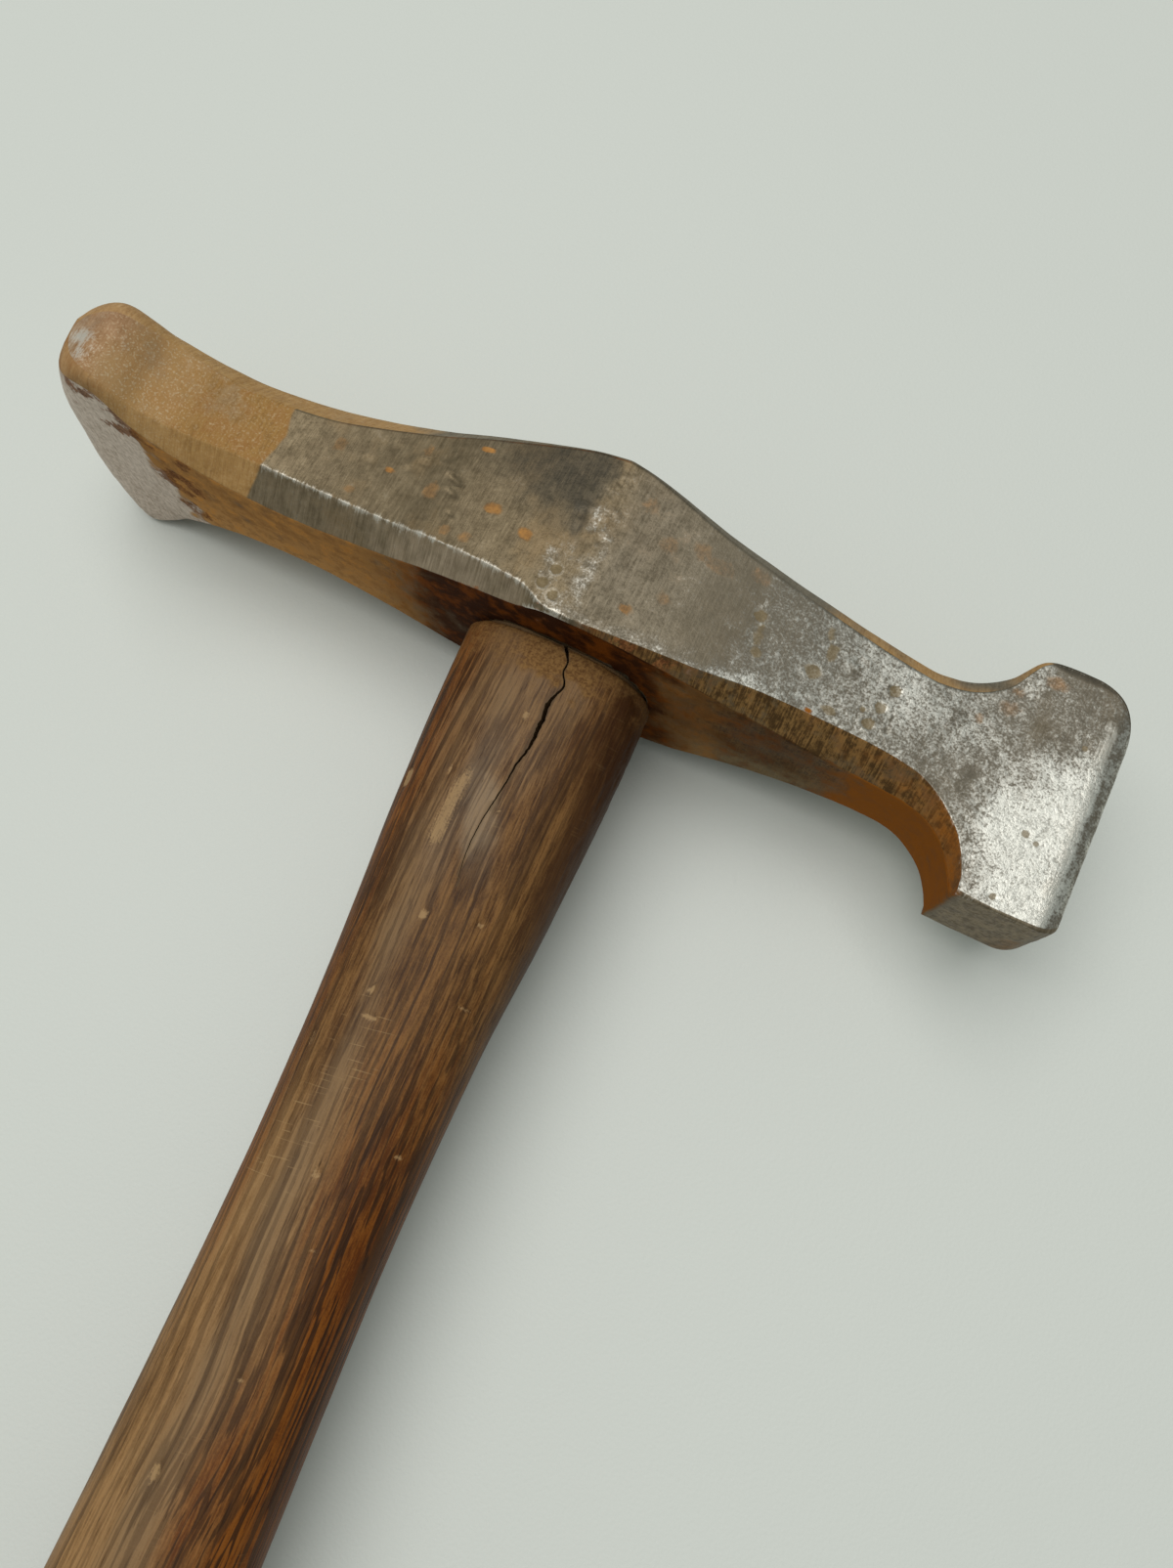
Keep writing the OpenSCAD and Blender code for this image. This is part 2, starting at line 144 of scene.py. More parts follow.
# Flats round a section, in the order of these names: number of steps, crowding toward the flat's edges
FAR, FAR_TOP, CREST, NEAR_TOP, NEAR, NEAR_LOW, UNDER, FAR_LOW, STRIKING = range(9)
FLATS = [(40, 0.5), (6, 0.4), (22, 0.5), (8, 0.4), (84, 0.6), (14, 0.5), (28, 0.5), (8, 0.4)]


def line(name, x):
    """A line of the head at x, negative on the peen arm, softened where the two arms meet."""
    def one(at):
        return curve(PEEN[name], -at) if at < 0 else curve(FACE[name], at)
    if abs(x) > 3:
        return one(x)
    return sum(one(x + d * RIDGE_SOFT) for d in (-1, -0.5, 0, 0.5, 1)) / 5


def low_edge(x, share=1.0):
    """Height of the near cheek's lower edge at x of the part; a share leads down the chamfer."""
    return line("bottom", x + FACE_REACH) + share * line("low_cut", x + FACE_REACH)


def worn_corner(s, run, most):
    """How far a corner is worn away at s, rounded over its last run."""
    back = FACE_REACH - run
    return 0.0 if s <= back else most * (1 - math.sqrt(max(0.0, 1 - ((s - back) / run) ** 2)))


def sag(s, y, z):
    """The far half of the peen's underside hangs lower toward the nose."""
    return PEEN_SAG * step_up(80, 93, s) * max(0.0, -z / PEEN_HALF) * min(1.0, max(0.0, -y / 9.0))


def bulge(s, z):
    """How far the peen's end swells outward: a crown, worn out of square."""
    crown = PEEN_CROWN * (1 - min(1.0, abs(z / PEEN_HALF)) ** 2.2) - z * math.tan(OUT_OF_SQUARE)
    return crown * step_up(NOSE_START - 18, NOSE_START + 4, s)


def nose_pinch(s, power):
    t = min(1.0, max(0.0, (s - NOSE_START) / NOSE_DEPTH))
    return (1 - t ** power) ** (1 / power)


def section_corners(top, bottom, half, cut_top, cut_low):
    """The eight corners of a section as (y, z), from the far cheek over the crest to the underside."""
    return [(bottom + cut_low, -half), (top - cut_top, -half), (top, cut_top - half),
            (top, half - cut_top), (top - cut_top, half), (bottom + cut_low, half),
            (bottom, half - cut_low), (bottom, cut_low - half)]


def round_out(corners, i, t, soft):
    """A chamfer that swells into a quarter round as soft goes from 0 to 1."""
    a, b = Vector(corners[i]), Vector(corners[(i + 1) % 8])
    outer = Vector((a[0], b[1])) if i in (NEAR_TOP, FAR_LOW) else Vector((b[0], a[1]))
    inner = a + b - outer
    angle = t * math.pi / 2
    arc = inner + (a - inner) * math.cos(angle) + (b - inner) * math.sin(angle)
    return a.lerp(b, t).lerp(arc, soft)


def section(x):
    """Points of a section as (y, z, flat, distance to the nearer edge)."""
    s = abs(x)
    top, bottom, half = line("top", x), line("bottom", x), line("thick", x)
    cut_top, cut_low, soft = line("top_cut", x), line("low_cut", x), line("soft", x)
    if x < 0:
        top, bottom = mix(NOSE_TIP, top, nose_pinch(s, 2.6)), mix(NOSE_TIP, bottom, nose_pinch(s, 3.2))
        room = (top - bottom) * 0.48
        cut_top, cut_low = min(room, cut_top), min(room, cut_low)
    else:
        off = worn_corner(s, *WORN_SIDE)
        top, bottom = top - worn_corner(s, *WORN_TOP), bottom + worn_corner(s, *WORN_LOW)
        half -= off
        cut_top, cut_low = cut_top + off * 0.6, cut_low + off * 0.1
    corners = section_corners(top, bottom, half, cut_top, cut_low)
    points = []
    for i, (count, pinch) in enumerate(FLATS):
        before, a, b, after = (Vector(corners[(i + k) % 8]) for k in (-1, 0, 1, 2))
        length = max((b - a).length, 1e-6)
        along = (b - a) / length
        first, last = (a - before).normalized(), (after - b).normalized()
        width = min(EDGE_SOFT, length * 0.45)
        for t in spread(count, pinch):
            p = a.lerp(b, t)
            d, e = t * length, (1 - t) * length
            if d < width:
                p += (along - first) * (width - d) ** 2 / (4 * width)
            if e < width:
                p += (last - along) * (width - e) ** 2 / (4 * width)
            if soft and i % 2:
                p += round_out(corners, i, t, soft) - a.lerp(b, t)
            points.append((p[0], p[1], i, min(d, e)))
    return points


def head_places():
    """Places of the sections along the head, closer together where it turns and where it is beaten."""
    nose = [-(NOSE_START + NOSE_DEPTH * math.sin(math.radians(87 * (1 - i / 14)))) for i in range(14)]
    arm = evenly(-NOSE_START, -8, COARSE)
    neck = evenly(-8, 4, FINE) + evenly(4, 50, COARSE) + evenly(50, 58, CLOSE) + evenly(58, 74, MIDDLING)
    corner = [74, 74.6, 75.2, 75.7, 76.1, 76.4, 76.6, 76.9, 77.3, WALL_START]
    run = WORN_TOP[0]
    wall = [WALL_START + (FACE_REACH - run - WALL_START) * i / 9 for i in range(1, 10)]
    edge = [FACE_REACH - run * (1 - math.sin(math.radians(90 * i / 20))) for i in range(1, 21)]
    return nose + arm + neck + corner + wall + edge


# ---------------- skins

def make_skin(rows):
    """A skin through rows of points (x, y, z, and perhaps flat and distance to the edge).

    It is a grid whose first and last columns are sewn together by close_skin."""
    bm = bmesh.new()
    around, last = len(rows[0]), len(rows) - 1
    bm.loops.layers.uv.new("wrap")
    for name in ("flat", "edge"):
        bm.verts.layers.float.new(name)
    bmesh.ops.create_grid(bm, x_segments=around, y_segments=last, size=0.5, calc_uvs=True)
    marks = [bm.verts.layers.float[name] for name in ("flat", "edge")]
    for v in bm.verts:
        column, row = round((v.co.x + 0.5) * around), round((v.co.y + 0.5) * last)
        x, y, z, *values = rows[row][column % around]
        v.co = Vector((x, y, z)) * MM
        for mark, value in zip(marks, values):
            v[mark] = value
    return bm


def close_skin(bm):
    """Sews the skin's seam, fills its two ends and turns every face outward."""
    bmesh.ops.remove_doubles(bm, verts=bm.verts, dist=SEAM_GAP * MM)
    bmesh.ops.holes_fill(bm, edges=[e for e in bm.edges if e.is_boundary], sides=0)
    bmesh.ops.triangulate(bm, faces=[f for f in bm.faces if len(f.verts) > 4])
    bmesh.ops.recalc_face_normals(bm, faces=bm.faces)
    bm.normal_update()


def wear_skin(bm, height):
    """Moves every vertex along its normal by height(place, flat, distance to the edge)."""
    flat, edge = bm.verts.layers.float["flat"], bm.verts.layers.float["edge"]
    moves = [v.normal * height(v.co / MM, round(v[flat]), v[edge]) * MM for v in bm.verts]
    for v, move in zip(bm.verts, moves):
        v.co += move


def into_scene(name, data):
    thing = bpy.data.objects.new(name, data)
    bpy.context.scene.collection.objects.link(thing)
    return thing


def make_piece(bm, name):
    """Turns a finished mesh into a piece of the scene."""
    mesh = bpy.data.meshes.new(name)
    bm.to_mesh(mesh)
    bm.free()
    return into_scene(name, mesh)


def cut(piece, tools):
    """Cuts the closed tools out of a piece and keeps the result."""
    for tool in tools:
        boolean = piece.modifiers.new("cut", "BOOLEAN")
        boolean.operation, boolean.solver, boolean.object = "DIFFERENCE", "EXACT", tool
    graph = bpy.context.evaluated_depsgraph_get()
    mesh = bpy.data.meshes.new_from_object(piece.evaluated_get(graph))
    old, name = piece.data, piece.data.name
    piece.modifiers.clear()
    piece.data = mesh
    bpy.data.meshes.remove(old)
    mesh.name = name
    for tool in tools:
        bpy.data.meshes.remove(tool.data)


# ---------------- wear on the head

# Blows on the near cheek: x, y, long half, short half, turn in degrees, depth
BLOWS = [
    (-93.4, 6.4, 2.6, 1.3, 62, 0.28), (-96.7, 9.5, 1.5, 0.7, -35, 0.2), (-97.1, 6.8, 1.4, 1.0, 40, 0.18),
    (-92.5, 3.6, 1.3, 1.0, 20, 0.22), (-93.6, 14.2, 1.2, 0.6, -20, 0.15), (-94.0, 2.3, 1.1, 0.9, 0, 0.2),
    (-94.3, 11.9, 1.6, 0.7, -40, 0.18), (-96.7, 4.0, 1.4, 0.8, 70, 0.18), (-92.1, -0.6, 1.0, 0.9, 0, 0.18),
    (-95.6, 0.8, 1.2, 0.7, 30, 0.14), (-91.0, 9.6, 1.8, 0.6, -30, 0.12), (-119.8, 4.6, 2.2, 0.8, -22, 0.5),
    (-119.1, 2.1, 1.7, 0.7, -20, 0.38), (-117.5, -1.5, 1.1, 0.5, -25, 0.28),
    (-131.0, 7.0, 2.6, 1.3, -30, 0.2), (-125.6, 6.1, 2.2, 1.2, -20, 0.26), (-128.4, 4.0, 1.6, 0.8, 10, 0.12),
    (-122.6, 8.4, 1.5, 0.9, 35, 0.12), (-135.8, 3.2, 1.8, 0.9, -15, 0.1), (-37.5, -1.7, 2.6, 0.3, 80, 0.14),
    (-46.1, 6.0, 1.6, 0.9, 20, 0.1), (-30.0, 2.0, 1.7, 0.7, 50, 0.08)]
# Small flat-bottomed pits: x, y, half width
PITS = [
    (-96.4, -4.0, 1.0), (-97.4, -7.0, 1.0), (-94.9, -8.4, 0.95), (-39.8, 0.5, 1.05), (-40.7, -3.0, 1.1),
    (-38.7, 4.2, 1.05), (-63.7, 4.5, 1.1), (-52.3, 0.4, 1.3), (-10.7, -8.2, 0.7), (-8.6, -9.0, 0.5),
    (-11.8, -20.0, 0.6), (-42.4, -1.2, 0.5), (-6.9, 9.6, 0.5)]
BLOW_REACH = 4.5
EYE_RIDGE = -93.5
# The ragged lip: from and to which x, and how far from the edge it can reach on the flats and up or down
BURR_FROM, BURR_TO, BURR_REACH, BURR_HALF = -182, -14, 3, 2.2


def blow_height(x, y):
    """How far the near cheek is pressed in, or thrown up round a blow, at x and y."""
    height = 0.0
    for bx, by, long_half, short_half, turn, depth in BLOWS:
        dx, dy = x - bx, y - by
        if max(abs(dx), abs(dy)) > BLOW_REACH:
            continue
        c, s = math.cos(math.radians(turn)), math.sin(math.radians(turn))
        r = math.hypot((dx * c + dy * s) / long_half, (dy * c - dx * s) / short_half)
        r *= 1 + 0.25 * noise.noise(Vector((x, y, bx)) * 1.3)
        height += -depth * max(0.0, 1 - r * r) + 0.35 * depth * hump((r - 1.15) / 0.22)
    for px, py, half in PITS:
        r = math.hypot(x - px, y - py) / half
        if r < 2:
            height += -0.16 * (1 - step_up(0.72, 1.0, r)) + 0.05 * hump((r - 1.15) / 0.18)
    return height


def burr(p, flat, edge):
    """How far the ragged lip along the near cheek's lower edge stands out, from 0 to 1."""
    x, y = p[:2]
    if flat not in (NEAR, NEAR_LOW) or edge > BURR_REACH or not BURR_FROM <= x <= BURR_TO:
        return 0.0
    if abs(y - low_edge(x)) > BURR_HALF:
        return 0.0
    if x < -93:
        lip = 0.25 + 0.75 * step_up(-155, -150, x)
    else:
        lip = max(0.85 * step_up(-84, -94, x), 0.5 * step_up(-34, -24, x))
    lip *= step_up(BURR_FROM, -156, x)
    width = 0.42 if flat == NEAR else 0.75
    width *= 1 + 1.2 * wave(x * 0.35, 4, 0) + 0.9 * wave(x * 1.7, 7, 0)
    teeth = 0.66 + 0.55 * wave(x * 0.8, 0, 3) + 0.35 * wave(x * 3.7, y * 0.4, 2)
    return min(1.0, max(0.0, lip * teeth * math.exp(-(edge / max(0.12, width)) ** 1.3)))


def head_height(p, flat, edge):
    """Height of the worn surface over the true form."""
    x, y = p[:2]
    height = rough(p, 16, 0.1) + rough(p, 4.5, 0.03) + 0.09 * burr(p, flat, edge)
    if flat == NEAR:
        height += 0.8 * blow_height(x, y)
        height += 0.04 * step_up(-70, -45, x) * noise.noise(Vector(p) / 1.3)
        beside_ridge = step_up(-6, -2, -abs(x - EYE_RIDGE) + rough(p, 5, 2))
        height += 0.05 * beside_ridge * noise.noise(Vector(p) / 1.1)
    if flat in (FAR, CREST):
        height += 0.05 * noise.noise(Vector(p) / 2.2)
    if flat == UNDER:
        height += rough(p, 3.2, 0.07)
    return height


def build_head():
    rows = []
    for x in head_places():
        rows.append([(x - bulge(-x, z), y - sag(-x, y, z), z, flat, edge) for y, z, flat, edge in section(x)])
    # The striking face: rings that close in to a point
    last = rows[-1]
    middle_y = sum(p[1] for p in last) / len(last)
    for k in FACE_RINGS:
        rows.append([(p[0], mix(middle_y, p[1], k), p[2] * k, STRIKING, 9.0) for p in last])
    # The nose closes along a line: each upper point meets the lower one beside it
    rows.insert(0, [(x - 0.02, mix(y, NOSE_TIP, 0.9), *rest) for x, y, *rest in rows[0]])
    bm = make_skin(rows)
    bmesh.ops.translate(bm, verts=bm.verts, vec=(-FACE_REACH * MM, 0, 0))
    close_skin(bm)
    wear_skin(bm, head_height)
    return make_piece(bm, "head_forging")


# ---------------- colour zones of the head

# Each is a number from 0 to about 1 kept on the mesh; the finish turns them into colour, gloss and grain
HEAD_ZONES = ("ochre", "silver", "pale", "brown", "rust", "blotch", "soot", "shadow", "bright", "hatch",
              "stain")
MOST_ZONE = 1.3
# Between which x the striking arm and the block take over
ARM_FROM, BLOCK_FROM = (-95, -91), (-18, -15)

# Where the ochre patina stops on the near cheek: y, x
TIDE = [
    (-12, -155.2), (-10.4, -154.6), (-6.1, -153.2), (0.5, -152.0), (6.3, -153.3), (8.6, -152.2), (10.5, -149),
    (13, -144)]
# Rust along the underside: x, share of orange rust, share of dark rust
UNDERSIDE = [
    (-197, 0.0, 0.0), (-184, 0.2, 0.0), (-177, 0.9, 0.0), (-165, 0.95, 0.1), (-150, 1.0, 0.1),
    (-135, 0.95, 0.2), (-124, 0.75, 0.42), (-116, 0.5, 0.75), (-106, 0.25, 1.0), (-80, 0.3, 1.0),
    (-74, 0.75, 0.7), (-66, 0.6, 0.45), (-58, 0.3, 0.45), (-46, 0.2, 0.4), (-40, 0.6, 0.2), (-34, 1.0, 0.0),
    (-18, 1.0, 0.0), (-16, 0.15, 0.1), (0, 0.3, 0.0)]
# Orange spots on the near cheek: x, y, half width along the head, half width across it, strength
ORANGE_SPOTS = [
    (-131.7, 2.7, 0.9, 0.6, 0.95), (-117.1, 11.8, 1.1, 0.55, 1.15), (-111.1, 1.9, 1.7, 1.1, 0.75),
    (-104.0, -0.3, 1.4, 1.1, 0.75), (-122.8, 1.4, 1.6, 1.9, 0.45), (-116.9, -4.5, 1.2, 1.2, 0.4),
    (-113.0, -4.7, 1.1, 1.3, 0.4), (-127.0, 8.4, 0.9, 1.2, 0.42), (-142.4, 4.2, 1.4, 1.6, 0.42),
    (-136.5, -3.2, 1.2, 0.8, 0.35), (-128.0, -7.3, 1.0, 0.9, 0.4), (-83.4, -5.3, 1.1, 0.9, 0.55),
    (-81.8, 7.9, 1.9, 1.5, 0.34), (-87.3, 13.0, 1.4, 1.7, 0.3), (-76.5, 9.6, 1.6, 1.5, 0.34),
    (-78.6, -1.0, 1.4, 1.2, 0.34), (-72.8, 8.6, 2.6, 1.6, 0.32), (-66.4, 10.4, 2.2, 1.4, 0.3),
    (-50.3, -5.8, 0.6, 0.4, 0.9), (-20.7, 10.6, 1.9, 1.5, 0.4), (-14.8, 18.1, 2.4, 1.3, 0.36),
    (-24.4, 6.6, 0.9, 0.9, 0.45), (-20.2, 13.8, 1.2, 1.0, 0.42)]
# Flat brown marks, dark marks and white chips on the near cheek, in the same order of numbers
BROWN_MARKS = [
    (-63.7, 4.5, 0.9, 1.1, 0.9), (-62.6, 1.2, 0.9, 2.4, 0.7), (-61.9, -1.4, 1.3, 0.9, 0.85),
    (-52.3, 0.6, 1.7, 0.9, 1.0), (-52.0, 8.0, 0.8, 1.5, 0.65), (-50.6, 5.0, 1.1, 1.7, 0.8),
    (-47.3, -4.1, 1.5, 0.9, 0.75), (-93.2, 6.0, 0.7, 1.5, 0.5)]
DARK_MARKS = [
    (-38.7, 4.2, 0.9, 0.9, 0.8), (-10.1, 8.9, 2.6, 1.0, 0.45), (-8.3, 6.8, 2.0, 1.6, 0.4),
    (-6.8, 5.4, 1.1, 0.9, 0.5), (-3.5, -4.1, 1.2, 2.6, 0.8), (-3.6, -12.5, 1.4, 2.2, 0.85),
    (-6.4, -11.6, 1.8, 1.2, 0.7), (-11.8, -20.3, 0.9, 0.7, 0.8), (-9.2, 0.4, 1.5, 0.7, 0.6),
    (-37.5, -1.7, 0.3, 2.6, 0.7), (-45.5, 3.6, 1.0, 0.9, 0.6), (-5.6, -4.5, 0.9, 0.8, 0.6),
    (-22.6, -2.4, 1.5, 4.0, 0.45), (-27.5, 5.2, 1.6, 1.6, 0.45), (-8.6, 13.6, 1.2, 0.8, 0.3)]
CHIPS = [
    (-63.6, 6.9, 0.35, 0.8, 0.75), (-64.4, 5.9, 0.6, 0.4, 0.7), (-63.0, 3.3, 0.25, 0.35, 0.7),
    (-53.4, -0.6, 0.9, 0.35, 0.75), (-51.4, 1.6, 0.5, 0.25, 0.7), (-51.6, -0.9, 0.3, 0.5, 0.7),
    (-49.0, 6.3, 0.25, 1.2, 0.5)]
# Rust patches on the worn underside of the peen: x, z, half widths, strength
PEEN_RUST = [
    (-184.0, 20.5, 2.6, 1.0, 0.9), (-182.8, 13.0, 3.0, 1.1, 0.85), (-178.8, 13.6, 3.6, 1.2, 0.9),
    (-175.8, 17.8, 3.4, 0.9, 0.7), (-181.6, 7.2, 1.8, 0.7, 0.6), (-172.4, 5.0, 3.0, 1.8, 0.85),
    (-168.2, 2.6, 2.4, 3.0, 0.85), (-171.0, -2.0, 1.6, 1.2, 0.6), (-167.0, 10.5, 2.2, 2.6, 0.7)]


def spots_at(spots, a, b):
    """The strongest of the round spots at a and b, fading at its rim."""
    most = 0.0
    for x, y, wide, tall, strength in spots:
        if abs(a - x) < 2 * wide + 1 and abs(b - y) < 2 * tall + 1:
            r = math.hypot((a - x) / wide, (b - y) / tall)
            r *= 1 + 0.4 * wave(a * 0.9, b * 0.9, x)
            most = max(most, strength * (1 - step_up(0.6, 1.35, r)))
    return most


def table_at(table, x, column):
    """Value of a column at x, on a smooth line through the rows."""
    return curve([(row[0], row[column]) for row in table], x)


def ochre_at(p, flat, cloud, small, block):
    """Share of ochre patina: over the peen arm up to a ragged front, and thinly over the crest."""
    x, y = p[:2]
    if flat in (NEAR, NEAR_LOW):
        return step_up(0.8, -0.8, x - curve(TIDE, y) - 0.35 * small)
    if flat in (NEAR_TOP, CREST, FAR_TOP):
        crest = step_up(-70, -45, x) * (1 - block) * (0.55 + 0.4 * cloud)
        return max(step_up(14, -14, x + 130 - 14 * cloud), crest)
    if flat in (FAR, FAR_LOW):
        return step_up(1.2, -1.2, x + 149 - 9 * cloud - 0.6 * small)
    return 0.0


def underside_zones(p, ochre, cloud, small, right, block):
    """Worn bright at the peen, then powdery orange rust, dark rust toward the eye, bare wall at the block."""
    x, y, z = p
    slant = 0.16 * (z - 5)
    worn = step_up(-171.5, -178.5, x + 5 * small + slant)
    wall = block * step_up(-21, -22, y)
    rust = table_at(UNDERSIDE, x, 1) * (1 + 0.5 * small) * (1 - worn)
    soot = table_at(UNDERSIDE, x, 2) * (1 + 0.3 * small + 0.3 * cloud)
    near_rim = step_up(6, 17, z + 4 * cloud) * step_up(-168, -176, x)
    fading = hump((x + 174.5 + slant) / 4.2)
    along = step_up(-170, -166, x) * step_up(-104, -120, x)
    beside_eye = hump((x + 119) / 7, (z - 16) / 6)
    return {
        "pale": max(worn, 0.7 * wall),
        "ochre": ochre * (1 - worn),
        "blotch": max(0.9 * spots_at(PEEN_RUST, x, z), 0.5 * near_rim, 0.55 * fading, 0.14 * along,
                      0.5 * beside_eye),
        "rust": max(rust * (1 - wall), wall * 0.34 * step_up(-9, -3, x) * step_up(5, -3, z + 3 * small)),
        # Less dark rust toward the far side of the striking arm's underside: painted light bounced from the
        # table
        "soot": soot * ((1 - wall) * (1 - 0.45 * step_up(2, -14, z) * step_up(-70, -62, x))),
        "brown": (1 - block) * max(0.8 * step_up(-76, -64, x) * step_up(-36, -44, x), 0.5 * right),
    }


def low_chamfer_zones(p, edge, ochre, cloud, small, right, block):
    """Pale and brushed on the peen arm, brown with thin rust and soot on the striking arm."""
    x, y = p[:2]
    arm = right * (1 - block)
    pale = mix(0.24, 0.46, step_up(-136, -120, x)) * (1 - right) * (1 - ochre) * step_up(-96, -101, x)
    thin_rust = (0.04 + 0.15 * small + 0.2 * cloud) * step_up(-92, -84, x)
    rim = step_up(-125, -105, x) * step_up(1.2, 0.3, edge)
    low_rim = step_up(0.5, 0.05, edge) * (1 - block) * (y < low_edge(x, 0.4))
    return {
        "hatch": mix(0.6, 1.7, right),
        "silver": 0.1 * (1 - right),
        "pale": max(pale * (1 + 0.4 * cloud + 0.3 * small), block * 0.35),
        "blotch": 0.32 * arm * step_up(-44, -70, x) + 0.3 * (1 - right) * rim,
        "brown": arm * step_up(-92, -86, x) * (0.95 + 0.3 * small),
        "rust": arm * (thin_rust + 0.26 * step_up(-52, -40, x) + 0.25 * step_up(-37, -29, x)),
        "soot": max(right * (0.42 * step_up(-58, -84, x) + 0.12) * (1 - block) * (0.8 + 0.5 * small),
                    0.45 * step_up(-168, -186, x) * (0.8 + 0.6 * small),
                    0.62 * low_rim * (0.6 + 0.9 * small)),
    }


def near_cheek_zones(p, edge, cloud, small, right, block):
    """Bruised bright beside the eye and brighter toward the block, with spots, marks and chips."""
    x, y = p[:2]
    # Bare metal, with painted light on the striking arm's cheek where it slopes away from the lamp
    blows = step_up(-100, -97.5, x + 1.5 * small) * step_up(-88, -93.5, x - 2.5 * small) * step_up(19, 15, y)
    silver = max(0.26 * blows * (0.8 + 0.9 * small), step_up(-84, -26, x) ** 1.05 * (0.42 + 0.2 * cloud))
    # This step is painted light: it lightens the striking arm's cheek where it slopes away from the lamp.
    silver += 0.02 * right + 0.09 * step_up(-86, -76, x) * step_up(-58, -66, x)
    silver += 0.2 * step_up(-68, -61, x + 1.5 * small) - 0.14 * step_up(-38, -28, x) * step_up(-12, -19, x)
    silver += 0.6 * step_up(-17, -6, x + 8 * cloud) * step_up(13, 1, y + 3 * small)
    silver -= 0.34 * block * step_up(2, 11, y)
    above_rim = step_up(3.0, 0.2, y - low_edge(x) + 1.5 * small)
    silver += 0.28 * right * (1 - block) * above_rim * step_up(-50, -62, x)
    face_edge = step_up(-3.0, -2.0, x)
    silver = mix(silver, 0.55 + 0.4 * small, face_edge)
    # Painted dark reflection beside the eye ridge, dark marks and the block's dark upper rim
    # This darkening beside the ridge is a painted dark reflection.
    beside_ridge = step_up(-128, -104, x) * step_up(-94.2, -96.6, x + 1.6 * small)
    beside_ridge *= step_up(1, 11, y + 0.3 * (x + 104) + 2 * small)
    marks = spots_at(DARK_MARKS, x + 1.1 * small, y + 1.1 * rough(p, 2.1, 1.0))
    upper_rim = 0.8 * block * step_up(20.4, 21.2, y + 0.3 * small)
    # The peen's end: a pale patch, partly painted light, a painted light band where its curve turns from the
    # lamp, painted glints, a rusty line and soot toward its upper corner
    pale_patch_and_light = 0.42 * hump((x + 176) / 6.5, (y - 2.2) / 3.4) * (1 + 0.8 * small)
    painted_light_band = 0.2 * hump((x + 174.5) / 5) * (1 + 0.7 * small)
    painted_glint = 0.95 * hump((x + 186.0) / 3.4, (y + 3.2) / 3.0) * (1 + 1.5 * small)
    painted_soft_glint = 0.16 * hump((x + 180) / 4.5, (y - 1.5) / 4) * (1 + 2 * small)
    rust_band = 0.3 * hump((x + 174) / 5, (y + 3.6) / 2.2)
    rust_tip = 0.34 * step_up(-184, -188, x) * step_up(0.1, 0.5, cloud)
    soot_tip = 0.34 * step_up(-185, -190, x) * step_up(-2, 2, y + 2 * small)
    soot_rim = 0.45 * step_up(0.4, 0.1, edge) * (y > 4) * (1 - right) * step_up(-152, -140, x)
    # A bright line beside the striking face
    bright_line = step_up(-6.4, -4.2, x + 0.5 * small) * step_up(-2.4, -3.0, x + 0.3 * small)
    bright_line *= step_up(17, 14, y) * (0.55 + 0.6 * small)
    return {
        "silver": silver,
        "shadow": max(beside_ridge, mix(0.8, 0.55, block) * marks, upper_rim),
        "hatch": 0.35 * (1 - right) + 0.4 * right * step_up(-45, -62, x),
        "stain": spots_at(BROWN_MARKS, x, y),
        # The pale zone here holds painted light at the peen's end.
        "pale": max(0.75 * step_up(-183, -189, x), painted_light_band, pale_patch_and_light),
        "rust": max(spots_at(ORANGE_SPOTS, x, y), 0.1 * right * step_up(-74, -80, x) * (1 + cloud),
                    rust_band, rust_tip),
        "soot": max(soot_rim, soot_tip),
        # The glints here are painted highlights.
        "bright": max(spots_at(CHIPS, x, y), bright_line, painted_glint, painted_soft_glint),
    }


def head_zones(p, flat, edge):
    """The zone numbers at a place of the head."""
    x = p[0]
    cloud, small = rough(p, 13), rough(p, 3.2)
    right, block = step_up(*ARM_FROM, x), step_up(*BLOCK_FROM, x)
    zone = dict.fromkeys(HEAD_ZONES, 0.0)
    zone["ochre"] = ochre_at(p, flat, cloud, small, block)
    if flat in (UNDER, FAR_LOW):
        zone.update(underside_zones(p, zone["ochre"], cloud, small, right, block))
    elif flat == NEAR_LOW:
        zone.update(low_chamfer_zones(p, edge, zone["ochre"], cloud, small, right, block))
    elif flat == NEAR:
        zone.update(near_cheek_zones(p, edge, cloud, small, right, block))
    elif flat in (NEAR_TOP, FAR_TOP):
        zone.update(hatch=0.8, shadow=0.55 * step_up(0.5, 0.0, edge) + 0.3 * block)
    elif flat == FAR:
        zone.update(silver=step_up(-70, -15, x + 20 * cloud) * 0.8 + 0.2 * right, hatch=0.4,
                    rust=0.5 * step_up(0.18, 0.42, rough(p, 9)))
    elif flat == CREST:
        zone.update(silver=block * 0.4, hatch=0.5, rust=0.55 * step_up(0.0, 0.4, cloud),
                    shadow=0.5 * (1 - block) * step_up(-130, -110, x) * step_up(-60, -75, x))
    elif flat == STRIKING:
        zone.update(silver=1.0 + 0.3 * small, shadow=0.5 * step_up(0.1, 0.4, rough(p, 5)))
    worn_rim = 0.4 * step_up(0.3, 0.0, edge) * block * (flat in (NEAR, UNDER))
    zone["bright"] = max(zone["bright"], burr(p, flat, edge), worn_rim)
    return zone


